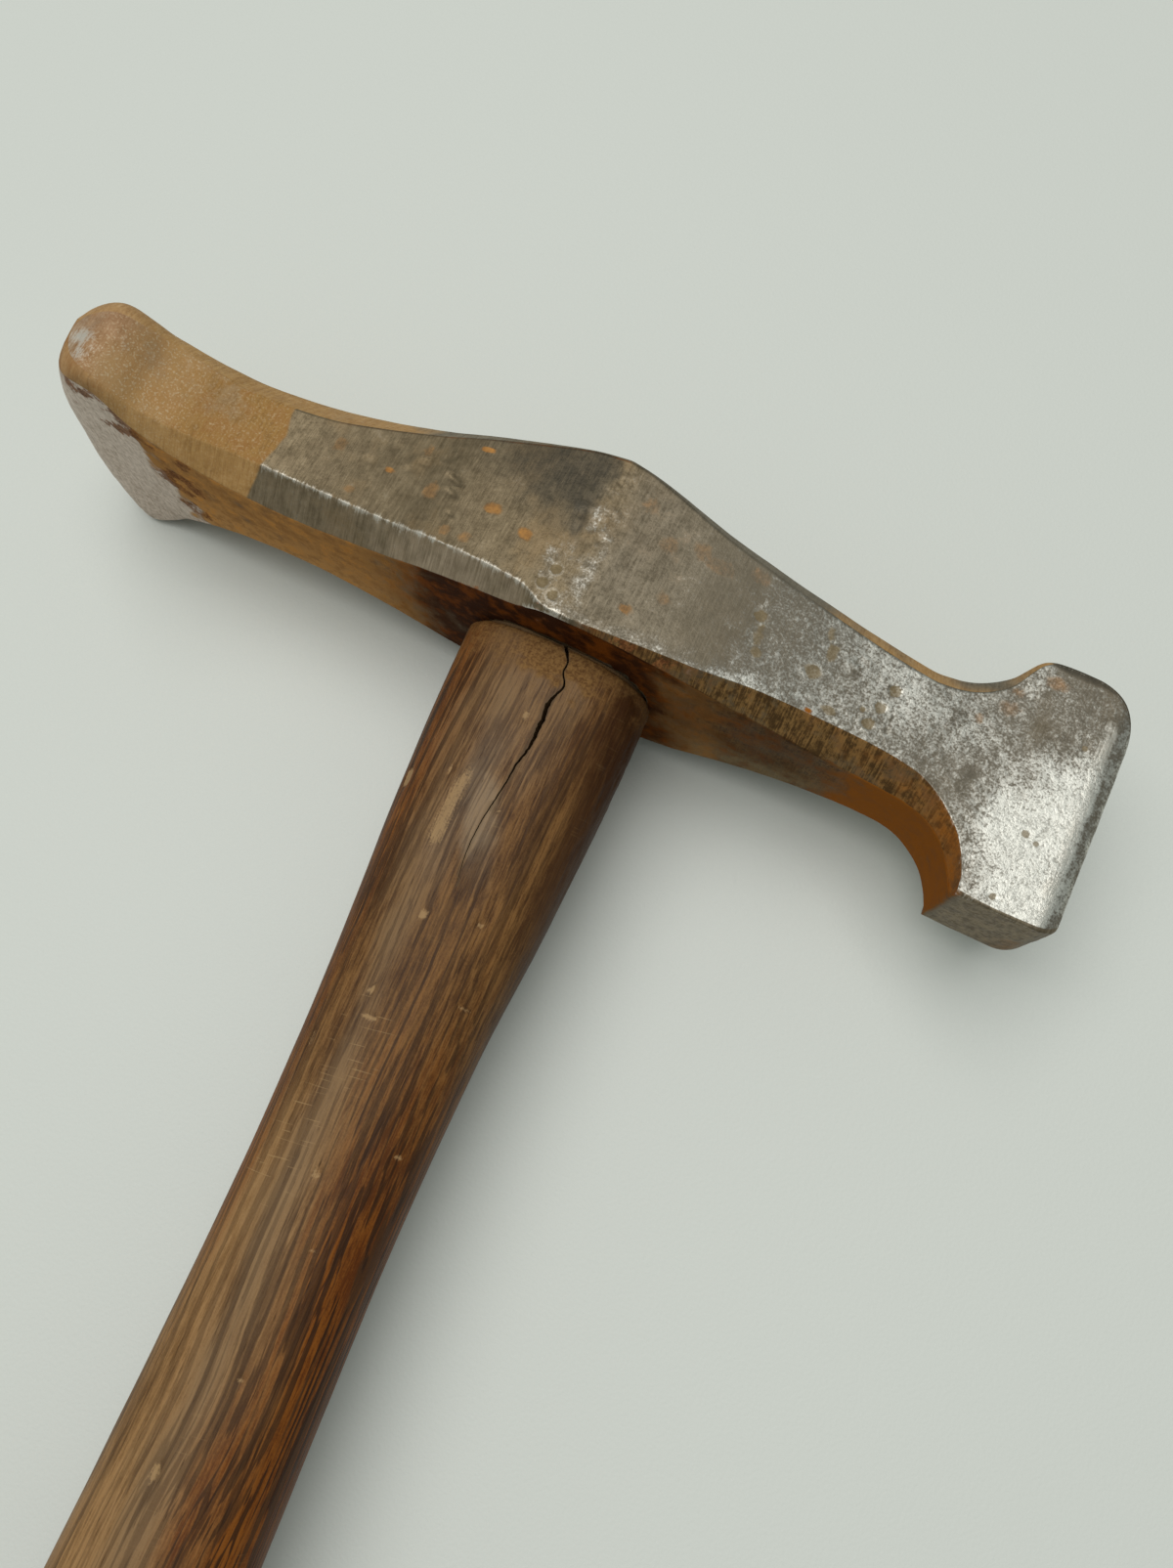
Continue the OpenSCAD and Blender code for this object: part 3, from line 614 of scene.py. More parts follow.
def paint(piece, names, zones):
    """Stores the zones of each vertex on the mesh, one number per name."""
    mesh = piece.data
    flats, edges = ([d.value for d in mesh.attributes[n].data] for n in ("flat", "edge"))
    found = [zones(v.co / MM, round(flats[v.index]), edges[v.index]) for v in mesh.vertices]
    for name in names:
        layer = mesh.attributes.new(name, "FLOAT", "POINT")
        layer.data.foreach_set("value", [min(MOST_ZONE, max(0.0, zone[name])) for zone in found])
    for name in ("flat", "edge"):
        mesh.attributes.remove(mesh.attributes[name])


# ---------------- eye and handle; v is the distance down the handle from the middle of the eye, u across it

# The eye: half width at its waist, how much it flares over its run, length of its straight sides,
# and the share of a ring's points that its round ends take
EYE_WAIST, EYE_FLARE, EYE_RUN, EYE_FLAT, EYE_CORNER = 9.2, 1.3, 15.45, 10.6, 0.6
TENON_GAP, TENON_END, TENON_RUN = 0.08, 16.45, 15.6
SHOULDER_AT, SHOULDER_ROUND = 15.75, 1.4
HANDLE_REACH, BUTT_ROUND = 328.0, 5.0
# Wedges: width, thickness at the top, depth
WOOD_WEDGE, STEEL_WEDGE = (25, 3.6, 22), (14, 2.8, 16)
WEDGE_TIP, SLOT_GAP = 0.6, 0.05
# Depth and width of the shank at v
SHANK_ALONG = [
    (0, 35.4), (30, 35.2), (48.4, 33.43), (74.3, 29.99), (92, 28.18), (118, 27.2), (143, 27.6), (163, 28.5),
    (233, 32), (293, 31.4), (328, 33.2)]
SHANK_WIDE = [(0, 25), (30, 24.8), (74.3, 22.76), (118, 21.6), (163, 22.6), (233, 25), (293, 24.4), (328, 26)]
# Points round a ring of the handle, and how square its oval is: 2 is an ellipse
AROUND, OVAL_POWER = 176, 2.3
TENON, SHOULDER, SHANK, BUTT = range(4)
HANDLE_ZONES = ("grey", "warm", "light", "dust", "dark", "scratch", "nick", "raw")
# Pale nicks and bruises of the near side: u, v, half widths, strength
NICKS = [
    (-0.3, 29.6, 0.45, 0.9, 1.0), (2.6, 46.0, 0.5, 0.5, 0.8), (-7.9, 42.6, 0.4, 1.0, 0.8),
    (-14.8, 45.6, 0.6, 2.2, 0.9), (-1.9, 66.0, 0.5, 1.2, 0.9), (-4.4, 79.8, 0.45, 0.9, 1.0),
    (9.9, 77.0, 1.2, 0.35, 0.6), (6.8, 64.0, 0.5, 0.6, 0.8), (-2.9, 83.6, 1.4, 0.45, 1.0),
    (-0.4, 107.6, 0.5, 0.9, 1.0), (3.8, 117.2, 0.9, 0.35, 0.7), (2.0, 137.0, 0.6, 0.4, 0.8),
    (-10.5, 90.0, 0.5, 1.6, 0.5), (7.5, 96.0, 0.6, 0.3, 0.7), (9.6, 100.8, 0.7, 0.35, 0.8),
    (-3.6, 152.0, 0.6, 1.4, 0.8)]
# The grey stripe down the near side, worn by handling and with a painted sheen
STRIPE_MIDDLE = [(15, -3), (50, -6), (110, -3.5), (165, -2), (330, -2)]
STRIPE_WIDTH = [(15, 12), (50, 5.5), (90, 4.0), (165, 4.5), (330, 4.5)]
# The crack down the near side: x, y, width, depth
CRACK = [
    (-91.4, -11.2, 1.5, 5), (-90.3, -13.0, 1.1, 5), (-89.5, -14.2, 0.55, 5), (-89.3, -16.3, 0.5, 5),
    (-88.2, -18.4, 0.6, 5), (-88.9, -21.0, 0.8, 5.5), (-89.1, -22.7, 1.15, 6), (-88.8, -24.8, 1.05, 6),
    (-88.7, -26.8, 1.1, 6), (-88.6, -30.3, 0.7, 5), (-89.2, -33.9, 0.6, 4), (-89.3, -36.8, 0.42, 3.5),
    (-89.7, -41.3, 0.4, 3), (-90.0, -45.1, 0.36, 2.5), (-89.9, -49.6, 0.32, 2), (-89.3, -53.3, 0.26, 1.5),
    (-88.8, -55.8, 0.08, 0.8)]
CRACK_STEP = 0.45


def hang(bm):
    """Places a piece of the handle, drawn about the middle of the eye, in the head."""
    place = Matrix.Translation(EYE_PLACE * MM) @ Matrix.Rotation(HANDLE_LEAN, 4, "Z")
    bmesh.ops.transform(bm, verts=bm.verts, matrix=place)


def along_handle(x, y):
    """u and v of a place of the part."""
    c, s = math.cos(HANDLE_LEAN), math.sin(HANDLE_LEAN)
    dx, dy = x - EYE_PLACE.x, y - EYE_PLACE.y
    return dx * c + dy * s, dx * s - dy * c


def eye_ring(v, gap, extra=0.0):
    """The eye's opening at v: straight sides and round ends, as (x, -v, z)."""
    radius = EYE_WAIST - gap + EYE_FLARE * abs(v) / EYE_RUN + extra
    ring = []
    for i in range(AROUND):
        turn = 4 * i / AROUND
        quarter, q = int(turn), turn - int(turn)
        if quarter % 2:
            q = 1 - q
        if q < EYE_CORNER:
            angle = math.pi / 2 * q / EYE_CORNER
            x, z = EYE_FLAT / 2 + radius * math.cos(angle), radius * math.sin(angle)
        else:
            x, z = EYE_FLAT / 2 * (1 - (q - EYE_CORNER) / (1 - EYE_CORNER)), radius
        ring.append((x if quarter in (0, 3) else -x, -v, z if quarter < 2 else -z))
    return ring


def oval_ring(v, trim, slope):
    """The shank at v, trimmed all round and leaning with the shoulder."""
    along, wide, power = curve(SHANK_ALONG, v) / 2 - trim, curve(SHANK_WIDE, v) / 2 - trim, 2 / OVAL_POWER
    ring = []
    for i in range(AROUND):
        c, s = math.cos(2 * math.pi * i / AROUND), math.sin(2 * math.pi * i / AROUND)
        x = along * math.copysign(abs(c) ** power, c)
        ring.append((x, -v + slope * x, wide * math.copysign(abs(s) ** power, s)))
    return ring


def closing_rings(ring, shares):
    """Rings that close in on the middle of a ring."""
    middle = [sum(p[k] for p in ring) / len(ring) for k in range(3)]
    return [[tuple(mix(m, a, k) for m, a in zip(middle, p)) for p in ring] for k in shares]


def handle_height(p, flat, edge):
    """Height of the worn wood over the true form."""
    x, y, z = p
    if flat == TENON:
        return 0.0
    u, v = along_handle(x, y)
    height = rough((x, y * 0.35, z), 13, 0.16) + rough((x, y * 0.06, z), 1.6, 0.05)
    height += step_up(26, 17, v) * rough(p, 1.7, 0.12)
    # The right side is worn flatter and splintered below the head
    height -= 0.45 * step_up(11.5, 15, u) * step_up(62, 84, v) * step_up(140, 110, v)
    height -= 0.35 * step_up(12, 16, u) * step_up(75, 30, v) * abs(wave(x * 0.9, y * 0.22, z * 0.9))
    return height - 0.25 * spots_at(NICKS, u, v) * (z > 0)


def handle_zones(p, flat, edge):
    """The zone numbers at a place of the handle."""
    x, y, z = p
    u, v = along_handle(x, y)
    near = z > 0
    cloud, small = rough((x, y * 0.3, z), 9), rough(p, 2.4)
    down = step_up(100, 140, v)
    left_edge = step_up(-9, -13, u) * step_up(150, 110, v)

    # Grey where it is handled: down the middle, with a painted sheen there, beside the shoulder and right of
    # the crack
    # The stripe is handled wear with a painted sheen.
    worn_and_sheen_stripe = hump((u - curve(STRIPE_MIDDLE, v) + 2.5 * cloud) / curve(STRIPE_WIDTH, v)) * (0.75 + 0.4 * cloud)
    neck = step_up(58, 24, v) * step_up(13, 6, u + 4 * cloud) * step_up(-13, -9, u)
    beside_crack = hump((u + 1 - 0.35 * (v - 46)) / 3.4, (v - 47) / 11) * (1 + 0.4 * small)
    grey = max(worn_and_sheen_stripe * near, 0.55 * neck, 1.2 * beside_crack * near)

    warm = step_up(55, 135, v) * step_up(mix(-4, -1, down), mix(9, 11, down), u + 3 * cloud)
    warm += 0.6 * step_up(-8, -13, u) * step_up(150, 110, v) + 0.1 * cloud
    warm = max(warm, 0.7 * (z < 0) * step_up(40, 90, v)) + 0.22 * down * step_up(8, 2, abs(u))

    light = step_up(72, 120, v) * step_up(mix(5.5, 11, down), mix(-2, 0, down), u + 4 * cloud)
    light *= (0.85 + 0.5 * cloud) * (1 - 0.6 * left_edge)

    dust = step_up(25, 18.5, v + 4.5 * small + 2.0 * cloud)
    dust *= 0.5 + 0.5 * step_up(10, 2, abs(u - 2 + 3 * small))
    # Three groups of scratches across the grain
    scratch = [step_up(9, 3, math.hypot((u + 3) / 0.75, (v - 88) / 1.6)),
               step_up(6, 2, math.hypot(u + 6, (v - 101) / 1.3)),
               step_up(6, 2, math.hypot(u + 7, (v - 111) / 1.2))]
    # A tan bruise left of the crack
    tan = hump((u + 5.3 + 0.03 * (v - 48)) / 1.5)
    tan *= step_up(38, 45, v + 2 * small) * step_up(57.5, 53, v - 2 * small)
    return {
        "grey": grey, "warm": warm, "light": light,
        "dark": 0.7 * step_up(9.5, 15, u + 3 * cloud) * step_up(85, 45, v) + 0.25 * step_up(12.0, 15.0, u)
                + 0.2 * step_up(-11.5, -14.5, u),
        "dust": max(dust, 0.6 * (flat == SHOULDER)),
        "scratch": max(*scratch, 0.35 * step_up(0.1, 0.4, cloud)),
        "nick": max(spots_at(NICKS, u, v), 0.85 * tan) if near else 0.0,
        "raw": 1.0 * (flat in (TENON, BUTT)),
    }


def build_handle():
    rows = []

    def add(flat, rings):
        rows.extend([(*p, flat) for p in ring] for ring in rings)

    # The tenon, from its closed end to the shoulder
    add(TENON, closing_rings(eye_ring(-TENON_END, TENON_GAP, -0.35), (0.06, 0.2, 0.4, 0.6, 0.8, 0.93)))
    turns = [(-TENON_END, -0.35), (-TENON_END + 0.12, -0.1), (-TENON_END + 0.4, 0)]
    turns += [(-TENON_RUN + i * 2 * TENON_RUN / 22, 0) for i in range(23)]
    add(TENON, (eye_ring(v, TENON_GAP, extra) for v, extra in turns))
    # The shoulder lies square across the head, so it slopes against the handle
    slope = -math.tan(HANDLE_LEAN)
    seat = [(x, y + slope * x, z) for x, y, z in eye_ring(SHOULDER_AT, TENON_GAP)]
    rim = oval_ring(SHOULDER_AT, SHOULDER_ROUND, slope)
    add(TENON, [seat])
    for k in (0.25, 0.5, 0.75):
        add(SHOULDER, [[[mix(a, b, k) for a, b in zip(p, q)] for p, q in zip(seat, rim)]])
    turns = [math.pi / 2 * i / 6 for i in range(7)]
    add(SHOULDER, (oval_ring(SHOULDER_AT + SHOULDER_ROUND * (1 - math.cos(a)),
                             SHOULDER_ROUND * (1 - math.sin(a)), slope) for a in turns))
    # The shank, and the rounded butt
    start, stop = SHOULDER_AT + SHOULDER_ROUND, HANDLE_REACH - BUTT_ROUND
    for v in evenly(start + 0.4, 170, 0.75) + evenly(170, stop, 2.0) + [stop]:
        add(SHANK, [oval_ring(v, 0, slope * (1 - step_up(0, 0.12, (v - start) / (stop - start))))])
    turns = [math.pi / 2 * i / 8 for i in range(1, 9)]
    add(SHANK, (oval_ring(HANDLE_REACH - BUTT_ROUND * (1 - math.sin(a)), BUTT_ROUND * (1 - math.cos(a)), 0)
                for a in turns))
    add(BUTT, closing_rings(rows[-1], (0.9, 0.75, 0.6, 0.4, 0.2, 0.06)))
    bm = make_skin(rows)
    hang(bm)
    close_skin(bm)
    wear_skin(bm, handle_height)
    return make_piece(bm, "handle_shaft")


def crack_tool():
    """A thin ragged blade that follows the crack and narrows as it goes down."""
    top, low = -CRACK[0][1], -CRACK[-1][1]
    count = int((low - top) / CRACK_STEP)
    middles, widths, depths = ([(-c[1], c[k]) for c in CRACK] for k in (0, 2, 3))
    bm = bmesh.new()
    bmesh.ops.create_grid(bm, x_segments=count, y_segments=1, size=0.5)
    for v in bm.verts:
        y = -top - round((v.co.x + 0.5) * count) * CRACK_STEP
        side = 1 if v.co.y > 0 else -1
        x = curve(middles, -y) + 0.16 * wave(0, y * 0.9, 3) + 0.1 * wave(0, y * 2.6, 5)
        half = 0.36 * curve(widths, -y) * (1 + 0.35 * wave(side * 9, y * 1.4, 0))
        v.co = Vector((x + side * half * 1.15, y, 14.5)) * MM
    lower = bmesh.ops.extrude_face_region(bm, geom=bm.faces[:])["geom"]
    for v in (g for g in lower if isinstance(g, bmesh.types.BMVert)):
        at = -v.co.y / MM
        v.co.z = (12.4 - curve(depths, at)) * MM
        v.co.x = mix(curve(middles, at) * MM, v.co.x, 0.25)
    bmesh.ops.recalc_face_normals(bm, faces=bm.faces)
    return make_piece(bm, "crack_blade")


def eye_tool():
    """The eye's opening with worn mouths, to be cut out of the head."""
    upper = [(-EYE_RUN - 5, 0.9), (-EYE_RUN - 0.3, 0.75), (-EYE_RUN + 0.6, 0.12), (-EYE_RUN + 1.6, 0)]
    lower = [(EYE_RUN - 1.6, 0), (EYE_RUN - 0.6, 0.12), (EYE_RUN + 0.3, 0.6), (EYE_RUN + 5, 0.7)]
    bm = make_skin([eye_ring(v, 0, extra) for v, extra in [*upper, (0, 0), *lower]])
    hang(bm)
    close_skin(bm)
    return make_piece(bm, "eye_opening")


def wedge_piece(name, form, across, gap=0.0):
    """A wedge in the tenon, wide along Z or, when across, along X; with a gap, the tool for its slot."""
    wide, thick, depth = form
    bm = bmesh.new()
    bmesh.ops.create_cube(bm, size=1.0)
    for v in bm.verts:
        upper = v.co.y > 0
        v.co.x *= (thick if upper else WEDGE_TIP) + 2 * gap
        v.co.y = TENON_END + (0.02 + 20 * gap if upper else -depth - gap)
        v.co.z *= wide + 2 * gap
    if not gap:
        bmesh.ops.bevel(bm, geom=bm.edges[:], offset=0.25, segments=3, profile=0.5, affect="EDGES",
                        material=-1)
        long_edges = [e for e in bm.edges if e.calc_length() > 3]
        bmesh.ops.subdivide_edges(bm, edges=long_edges, cuts=12, use_grid_fill=True)
        # The end is beaten down unevenly
        for v in bm.verts:
            v.co.y -= 0.35 * step_up(TENON_END - 1.6, TENON_END, v.co.y) * (1 + rough(v.co, 2.2))
    bmesh.ops.scale(bm, vec=(MM, MM, MM), verts=bm.verts)
    if across:
        bmesh.ops.rotate(bm, verts=bm.verts, matrix=Matrix.Rotation(math.pi / 2, 3, "Y"))
    hang(bm)
    bmesh.ops.recalc_face_normals(bm, faces=bm.faces)
    return make_piece(bm, name)


head = build_head()
cut(head, [eye_tool()])
paint(head, HEAD_ZONES, head_zones)
handle = build_handle()
cut(handle, [crack_tool(), wedge_piece("slot", WOOD_WEDGE, True, SLOT_GAP),
             wedge_piece("slot", STEEL_WEDGE, False, SLOT_GAP)])
paint(handle, HANDLE_ZONES, handle_zones)
wood_wedge = wedge_piece("wood_wedge_bar", WOOD_WEDGE, True)
cut(wood_wedge, [wedge_piece("slot", STEEL_WEDGE, False, SLOT_GAP)])
steel_wedge = wedge_piece("steel_wedge_bar", STEEL_WEDGE, False)


# ---------------- materials

class Wire:
    """A value inside a material, so that shader maths reads as maths."""

    def __init__(self, finish, socket):
        self.finish, self.socket = finish, socket

    def maths(self, operation, other=0.5):
        return self.finish.maths(operation, self, other)

    def __add__(self, other): return self.maths("ADD", other)
    def __radd__(self, other): return self.maths("ADD", other)
    def __mul__(self, other): return self.maths("MULTIPLY", other)
    def __rmul__(self, other): return self.maths("MULTIPLY", other)
    def __sub__(self, other): return self.maths("SUBTRACT", other)
    def __rsub__(self, other): return self.finish.maths("SUBTRACT", other, self)
    def __truediv__(self, other): return self.maths("DIVIDE", other)
    def __abs__(self): return self.maths("ABSOLUTE")
    def least(self, other): return self.maths("MINIMUM", other)
    def most(self, other): return self.maths("MAXIMUM", other)

    def ramp(self, low, high):
        """0 at low, 1 at high, smooth between."""
        return self.finish.add("ShaderNodeMapRange", {"interpolation_type": "SMOOTHSTEP"},
                               {"Value": self, "From Min": low, "From Max": high})


class Finish:
    """A material under construction."""

    def __init__(self, name):
        self.material = bpy.data.materials.new(name)
        self.material.use_nodes = True
        self.tree = self.material.node_tree
        self.tree.nodes.clear()

    def add(self, kind, settings=None, inputs=None, out=0):
        """A node with its settings and inputs, given by name or in order; the Wire is its output."""
        node = self.tree.nodes.new(kind)
        for key, value in (settings or {}).items():
            setattr(node, key, value)
        for key, value in (inputs.items() if isinstance(inputs, dict) else enumerate(inputs or [])):
            if isinstance(value, Wire):
                self.tree.links.new(value.socket, node.inputs[key])
            else:
                node.inputs[key].default_value = value
        return Wire(self, node.outputs[out]) if node.outputs else node

    def maths(self, operation, a, b):
        return self.add("ShaderNodeMath", {"operation": operation}, [a, b])

    def blend(self, factor, a, b):
        """Colour a turning into colour b."""
        a, b = [(*c, 1.0) if isinstance(c, tuple) else c for c in (a, b)]
        return self.add("ShaderNodeMix", {"data_type": "RGBA"}, {0: factor, 6: a, 7: b}, out=2)

    def coats(self, colour, *coats):
        """A colour under coats of others, each given as (share, colour)."""
        for share, coat in coats:
            colour = self.blend(share, colour, coat)
        return colour

    def noise(self, place, scale, detail=3.0, harsh=0.5):
        return self.add("ShaderNodeTexNoise", {}, {"Vector": place, "Scale": scale, "Detail": detail,
                                                   "Roughness": harsh})

    def place(self):
        """Object coordinates in millimetres."""
        spot = self.add("ShaderNodeTexCoord", out=3)
        return self.add("ShaderNodeVectorMath", {"operation": "SCALE"}, {"Vector": spot, "Scale": 1 / MM})

    def parts(self, place):
        node = self.add("ShaderNodeSeparateXYZ", {}, [place]).socket.node
        return [Wire(self, o) for o in node.outputs]

    def join(self, x, y, z):
        return self.add("ShaderNodeCombineXYZ", {}, [x, y, z])

    def marks(self, names):
        """The zones stored on the mesh."""
        return [self.add("ShaderNodeAttribute", {"attribute_name": name}, out=2) for name in names]

    def done(self, colour, gloss, metallic, height, depth, specular=0.5):
        """The material, with its height as a bump of the given depth; gloss is its roughness."""
        bump = self.add("ShaderNodeBump", {}, {"Strength": 1.0, "Distance": depth * MM, "Height": height})
        shader = self.add("ShaderNodeBsdfPrincipled", {}, {
            "Base Color": colour, "Roughness": gloss, "Metallic": metallic, "Normal": bump,
            "Specular IOR Level": specular})
        self.add("ShaderNodeOutputMaterial", {}, {"Surface": shader})
        return self.material


def make_steel():
    """Forged steel: dark grind-marked skin, ochre patina, bright pitted metal and powdery rust, by zone."""
    f = Finish("worn forged steel")
    p = f.place()
    x, y, z = f.parts(p)
    near_side = z.ramp(3, 6)
    ochre, silver, pale, brown, rust, blotch, soot, shadow, bright, hatch, stain = f.marks(HEAD_ZONES)

    # Noises from coarse to fine, and the same ones about zero
    lines = f.noise(f.join(x * 2.7, y * 0.2, z * 0.2), 1.0, 3.0, 0.75)
    cloud = f.noise(p, 0.085, 2.0, 0.55)
    blot = f.noise(p, 0.21, 4.0, 0.62)
    patch = f.noise(p, 0.36, 3.0, 0.62)
    grit = f.noise(p, 1.05, 4.0, 0.74)
    speck = f.noise(p, 2.7, 1.0)
    noises = (lines, cloud, blot, patch, grit, speck)
    lined, cloudy, blotted, patchy, gritty, specked = (noise - 0.5 for noise in noises)

    # Flat-bottomed pits with a light rim
    side_view, insides, borders = f.join(x, y, 0.0), [], []
    for pit_x, pit_y, half in PITS:
        pit_place = (pit_x, pit_y, 0.0)
        reach = f.add("ShaderNodeVectorMath", {"operation": "DISTANCE"}, [side_view, pit_place], out=1)
        reach = reach / half + gritty * 1.1
        insides.append(reach.ramp(1.02, 0.84))
        borders.append(reach.ramp(1.7, 1.2))
    pitted, rim = (reduce(Wire.most, found) * near_side for found in (insides, borders))

    # Dark worn skin with lines across the head, colder on the striking arm, lighter on its cheek as painted
    # light where it slopes away from the lamp, darkest under the dark marks and the painted dark reflection
    stroke = lined * (hatch * 0.55 + 0.6)
    tone = (0.5 + stroke + patchy * 0.7 + gritty * 0.5).ramp(0.12, 0.9)
    skin = f.coats(
        f.blend(tone, (0.099, 0.073, 0.041), (0.238, 0.182, 0.11)),
        ((cloud + patchy * 0.5).ramp(0.48, 0.7) * 0.42, (0.19, 0.124, 0.058)),
        (x.ramp(-94, -88) * 0.6, f.blend(tone, (0.076, 0.064, 0.044), (0.19, 0.166, 0.127))),
        # Painted light: lightens the striking arm's cheek where it slopes away from the lamp
        (x.ramp(-86, -70) * x.ramp(-44, -56) * near_side * 0.4, (0.215, 0.18, 0.128)),
        (silver.ramp(0.12, 0.5) * 0.6, (0.175, 0.155, 0.122)),
        # Dark marks, and the painted dark reflection beside the eye ridge
        (shadow * (0.92 - tone * 0.32), (0.044, 0.039, 0.029)))

    # Bright metal, broken by pits of every size
    shine = silver + gritty * (silver.ramp(0.1, 0.6) * 0.5 + 0.6)
    shine = shine + patchy * 0.45 + specked * 0.7 - shadow * 0.6
    bare = shine.ramp(0.1, 0.7)
    pit = (grit * 0.6 + speck * 0.4).ramp(0.5, 0.4)
    crackle = abs(grit * 0.5 + blot * 0.5 - 0.5).ramp(0.012, 0.002) * silver.ramp(0.45, 0.9)
    metal = f.coats(
        f.blend((shine - 0.3).ramp(-0.1, 0.8), (0.18, 0.158, 0.124), (0.66, 0.64, 0.57)),
        (pit * silver.ramp(2.2, 0.8) * silver.ramp(0.1, 0.7) * 0.5, (0.115, 0.097, 0.072)),
        (crackle * 0.45, (0.15, 0.13, 0.1)))

    # Satin grey where the peen is worn smooth, darker on the block's wall, brushed on the peen's chamfer
    wall = f.blend((grit * 0.6 + patch * 0.4).ramp(0.4, 0.6), (0.08, 0.054, 0.022), (0.2, 0.148, 0.07))
    tanned = f.blend((lines * 0.4 + grit * 0.6).ramp(0.38, 0.62), (0.28, 0.172, 0.095), (0.5, 0.39, 0.28))
    brushed = f.blend((lines * 0.7 + patch * 0.3).ramp(0.3, 0.7), (0.27, 0.205, 0.135), (0.5, 0.395, 0.285))
    satin = f.coats(
        f.blend((lines * 0.5 + grit * 0.5).ramp(0.35, 0.62), (0.37, 0.285, 0.22), (0.65, 0.54, 0.455)),
        (x.ramp(-60, -40) * 0.85, wall), (ochre, tanned),
        (x.ramp(-92, -96) * hatch.ramp(0.5, 0.58) * (1 - ochre), brushed))

    # Brown patina on the chamfers, lighter toward the far side as painted light bounced from the table
    walnut = f.coats(
        f.blend((tone + gritty * 0.9).ramp(0.1, 0.9), (0.064, 0.034, 0.012), (0.225, 0.124, 0.042)),
        # Painted light bounced from the table
        (z.ramp(4, -14) * 0.65, (0.255, 0.19, 0.098)),
        ((patch + cloudy).ramp(0.45, 0.62) * 0.6, (0.085, 0.068, 0.042)))
    brown_share = (brown + gritty * 0.5).ramp(0.1, 0.75) * brown.ramp(0.0, 0.1)

    # Ochre patina with pale glittering specks, lighter as painted light where the peen's end turns from the
    # lamp, darker and redder at the nose, lighter on the peen's chamfer
    # Painted light: lightens the peen's end where its curve turns from the lamp
    painted_nose_light = x.ramp(-186, -179) * x.ramp(-166, -174) * near_side
    nose = (x + cloudy * 20).ramp(-175, -184) * near_side
    glitter = (speck * 0.35 + grit * 0.65).ramp(0.56, 0.68) * patch.ramp(0.38, 0.58) * 0.5
    glitter = glitter.most(speck.ramp(0.52, 0.72) * (painted_nose_light * 0.35 + 0.22))
    warm = f.coats(
        f.blend(patch.ramp(0.35, 0.68), (0.3, 0.165, 0.05), (0.27, 0.132, 0.04)),
        ((cloud + gritty * 0.4).ramp(0.5, 0.66) * 0.55, (0.275, 0.195, 0.115)),
        ((tone - 0.45).ramp(0.0, 0.5) * 0.5, (0.345, 0.215, 0.085)),
        ((0.47 - tone).ramp(0.0, 0.4) * 0.5, (0.17, 0.088, 0.03)),
        (painted_nose_light * 0.55, (0.48, 0.285, 0.12)),
        ((x - y * 0.9).ramp(-180, -190) * near_side * 0.8, (0.2, 0.105, 0.062)),
        (nose * 0.75, f.blend(tone, (0.24, 0.124, 0.055), (0.44, 0.275, 0.16))),
        (glitter, (0.54, 0.43, 0.28)),
        (hatch.ramp(0.45, 0.55) * 0.6, f.blend(tone, (0.28, 0.15, 0.052), (0.5, 0.305, 0.12))))
    worn_through = (pale + blotted * 0.8 + gritty * 0.7).ramp(0.1, 1.1) * pale.ramp(0.0, 0.2)
    ochre_share = ochre.ramp(0.25, 0.75) * (1 - worn_through * 0.85)

    # Stains, and orange rust, deeper in colour on the striking arm's underside, lighter toward the far side
    # as painted light bounced from the table
    stain_share = (stain + gritty * 0.7 + blotted * 0.5).ramp(0.3, 0.75).most(pitted)
    rust_share = (rust + gritty * 0.45 + patchy * 0.45).ramp(0.12, 0.9) * rust.ramp(0.0, 0.12)
    deep = x.ramp(-75, -45) * y.ramp(-3, -6)
    flare = (1 - deep) * (patch * 0.7 + blot * 0.5 + speck * 0.3 - 0.25).ramp(0.51, 0.64)
    orange = f.coats(
        f.blend(deep, (0.37, 0.18, 0.055), (0.27, 0.086, 0.009)),
        # Painted light bounced from the table
        (z.ramp(6, -14) * (1 - deep) * 0.6, (0.56, 0.3, 0.11)),
        ((patch * 0.6 + grit * 0.4).ramp(0.54, 0.4) * 0.42, (0.2, 0.078, 0.022)),
        (flare * 0.7, (0.52, 0.225, 0.05)))
    # Dark rust in patches, and the darkest in layers
    blotched = (blotch + blotted * 2.2 + gritty * 0.7).ramp(0.5, 0.7) * blotch.ramp(0.0, 0.1)
    crust = f.blend((grit * 0.6 + speck * 0.4).ramp(0.4, 0.62), (0.095, 0.032, 0.011), (0.245, 0.1, 0.035))
    soot_share = (soot + patchy * 0.6 + gritty * 0.35).ramp(0.15, 0.8) * soot.ramp(0.0, 0.1)
    layer = f.blend((cloud * 0.6 + patch * 0.4).ramp(0.46, 0.6), (0.034, 0.006, 0.0), (0.15, 0.034, 0.0))
    # Edges, chips and the pits' rims worn bright, with painted glints at the peen's end
    bright_share = (bright + specked * 0.5 + lined * 1.3 + gritty * 0.5).ramp(0.2, 0.95)
    light_rim = (rim + patchy * 3.5 + gritty).ramp(0.55, 1.3) * (1 - pitted)
    bright_share = (bright_share * bright.ramp(0.02, 0.2)).most(light_rim * 0.16)

    colour = f.coats(
        skin, (bare, metal), (pale.ramp(0.05, 0.9), satin), (brown_share, walnut), (ochre_share, warm),
        (stain_share * 0.7, f.blend(grit, (0.13, 0.098, 0.052), (0.27, 0.19, 0.09))),
        (rust_share, orange), (blotched * 0.85, crust), (soot_share * 0.95, layer),
        (bright_share * 0.8, (0.62, 0.58, 0.5)))

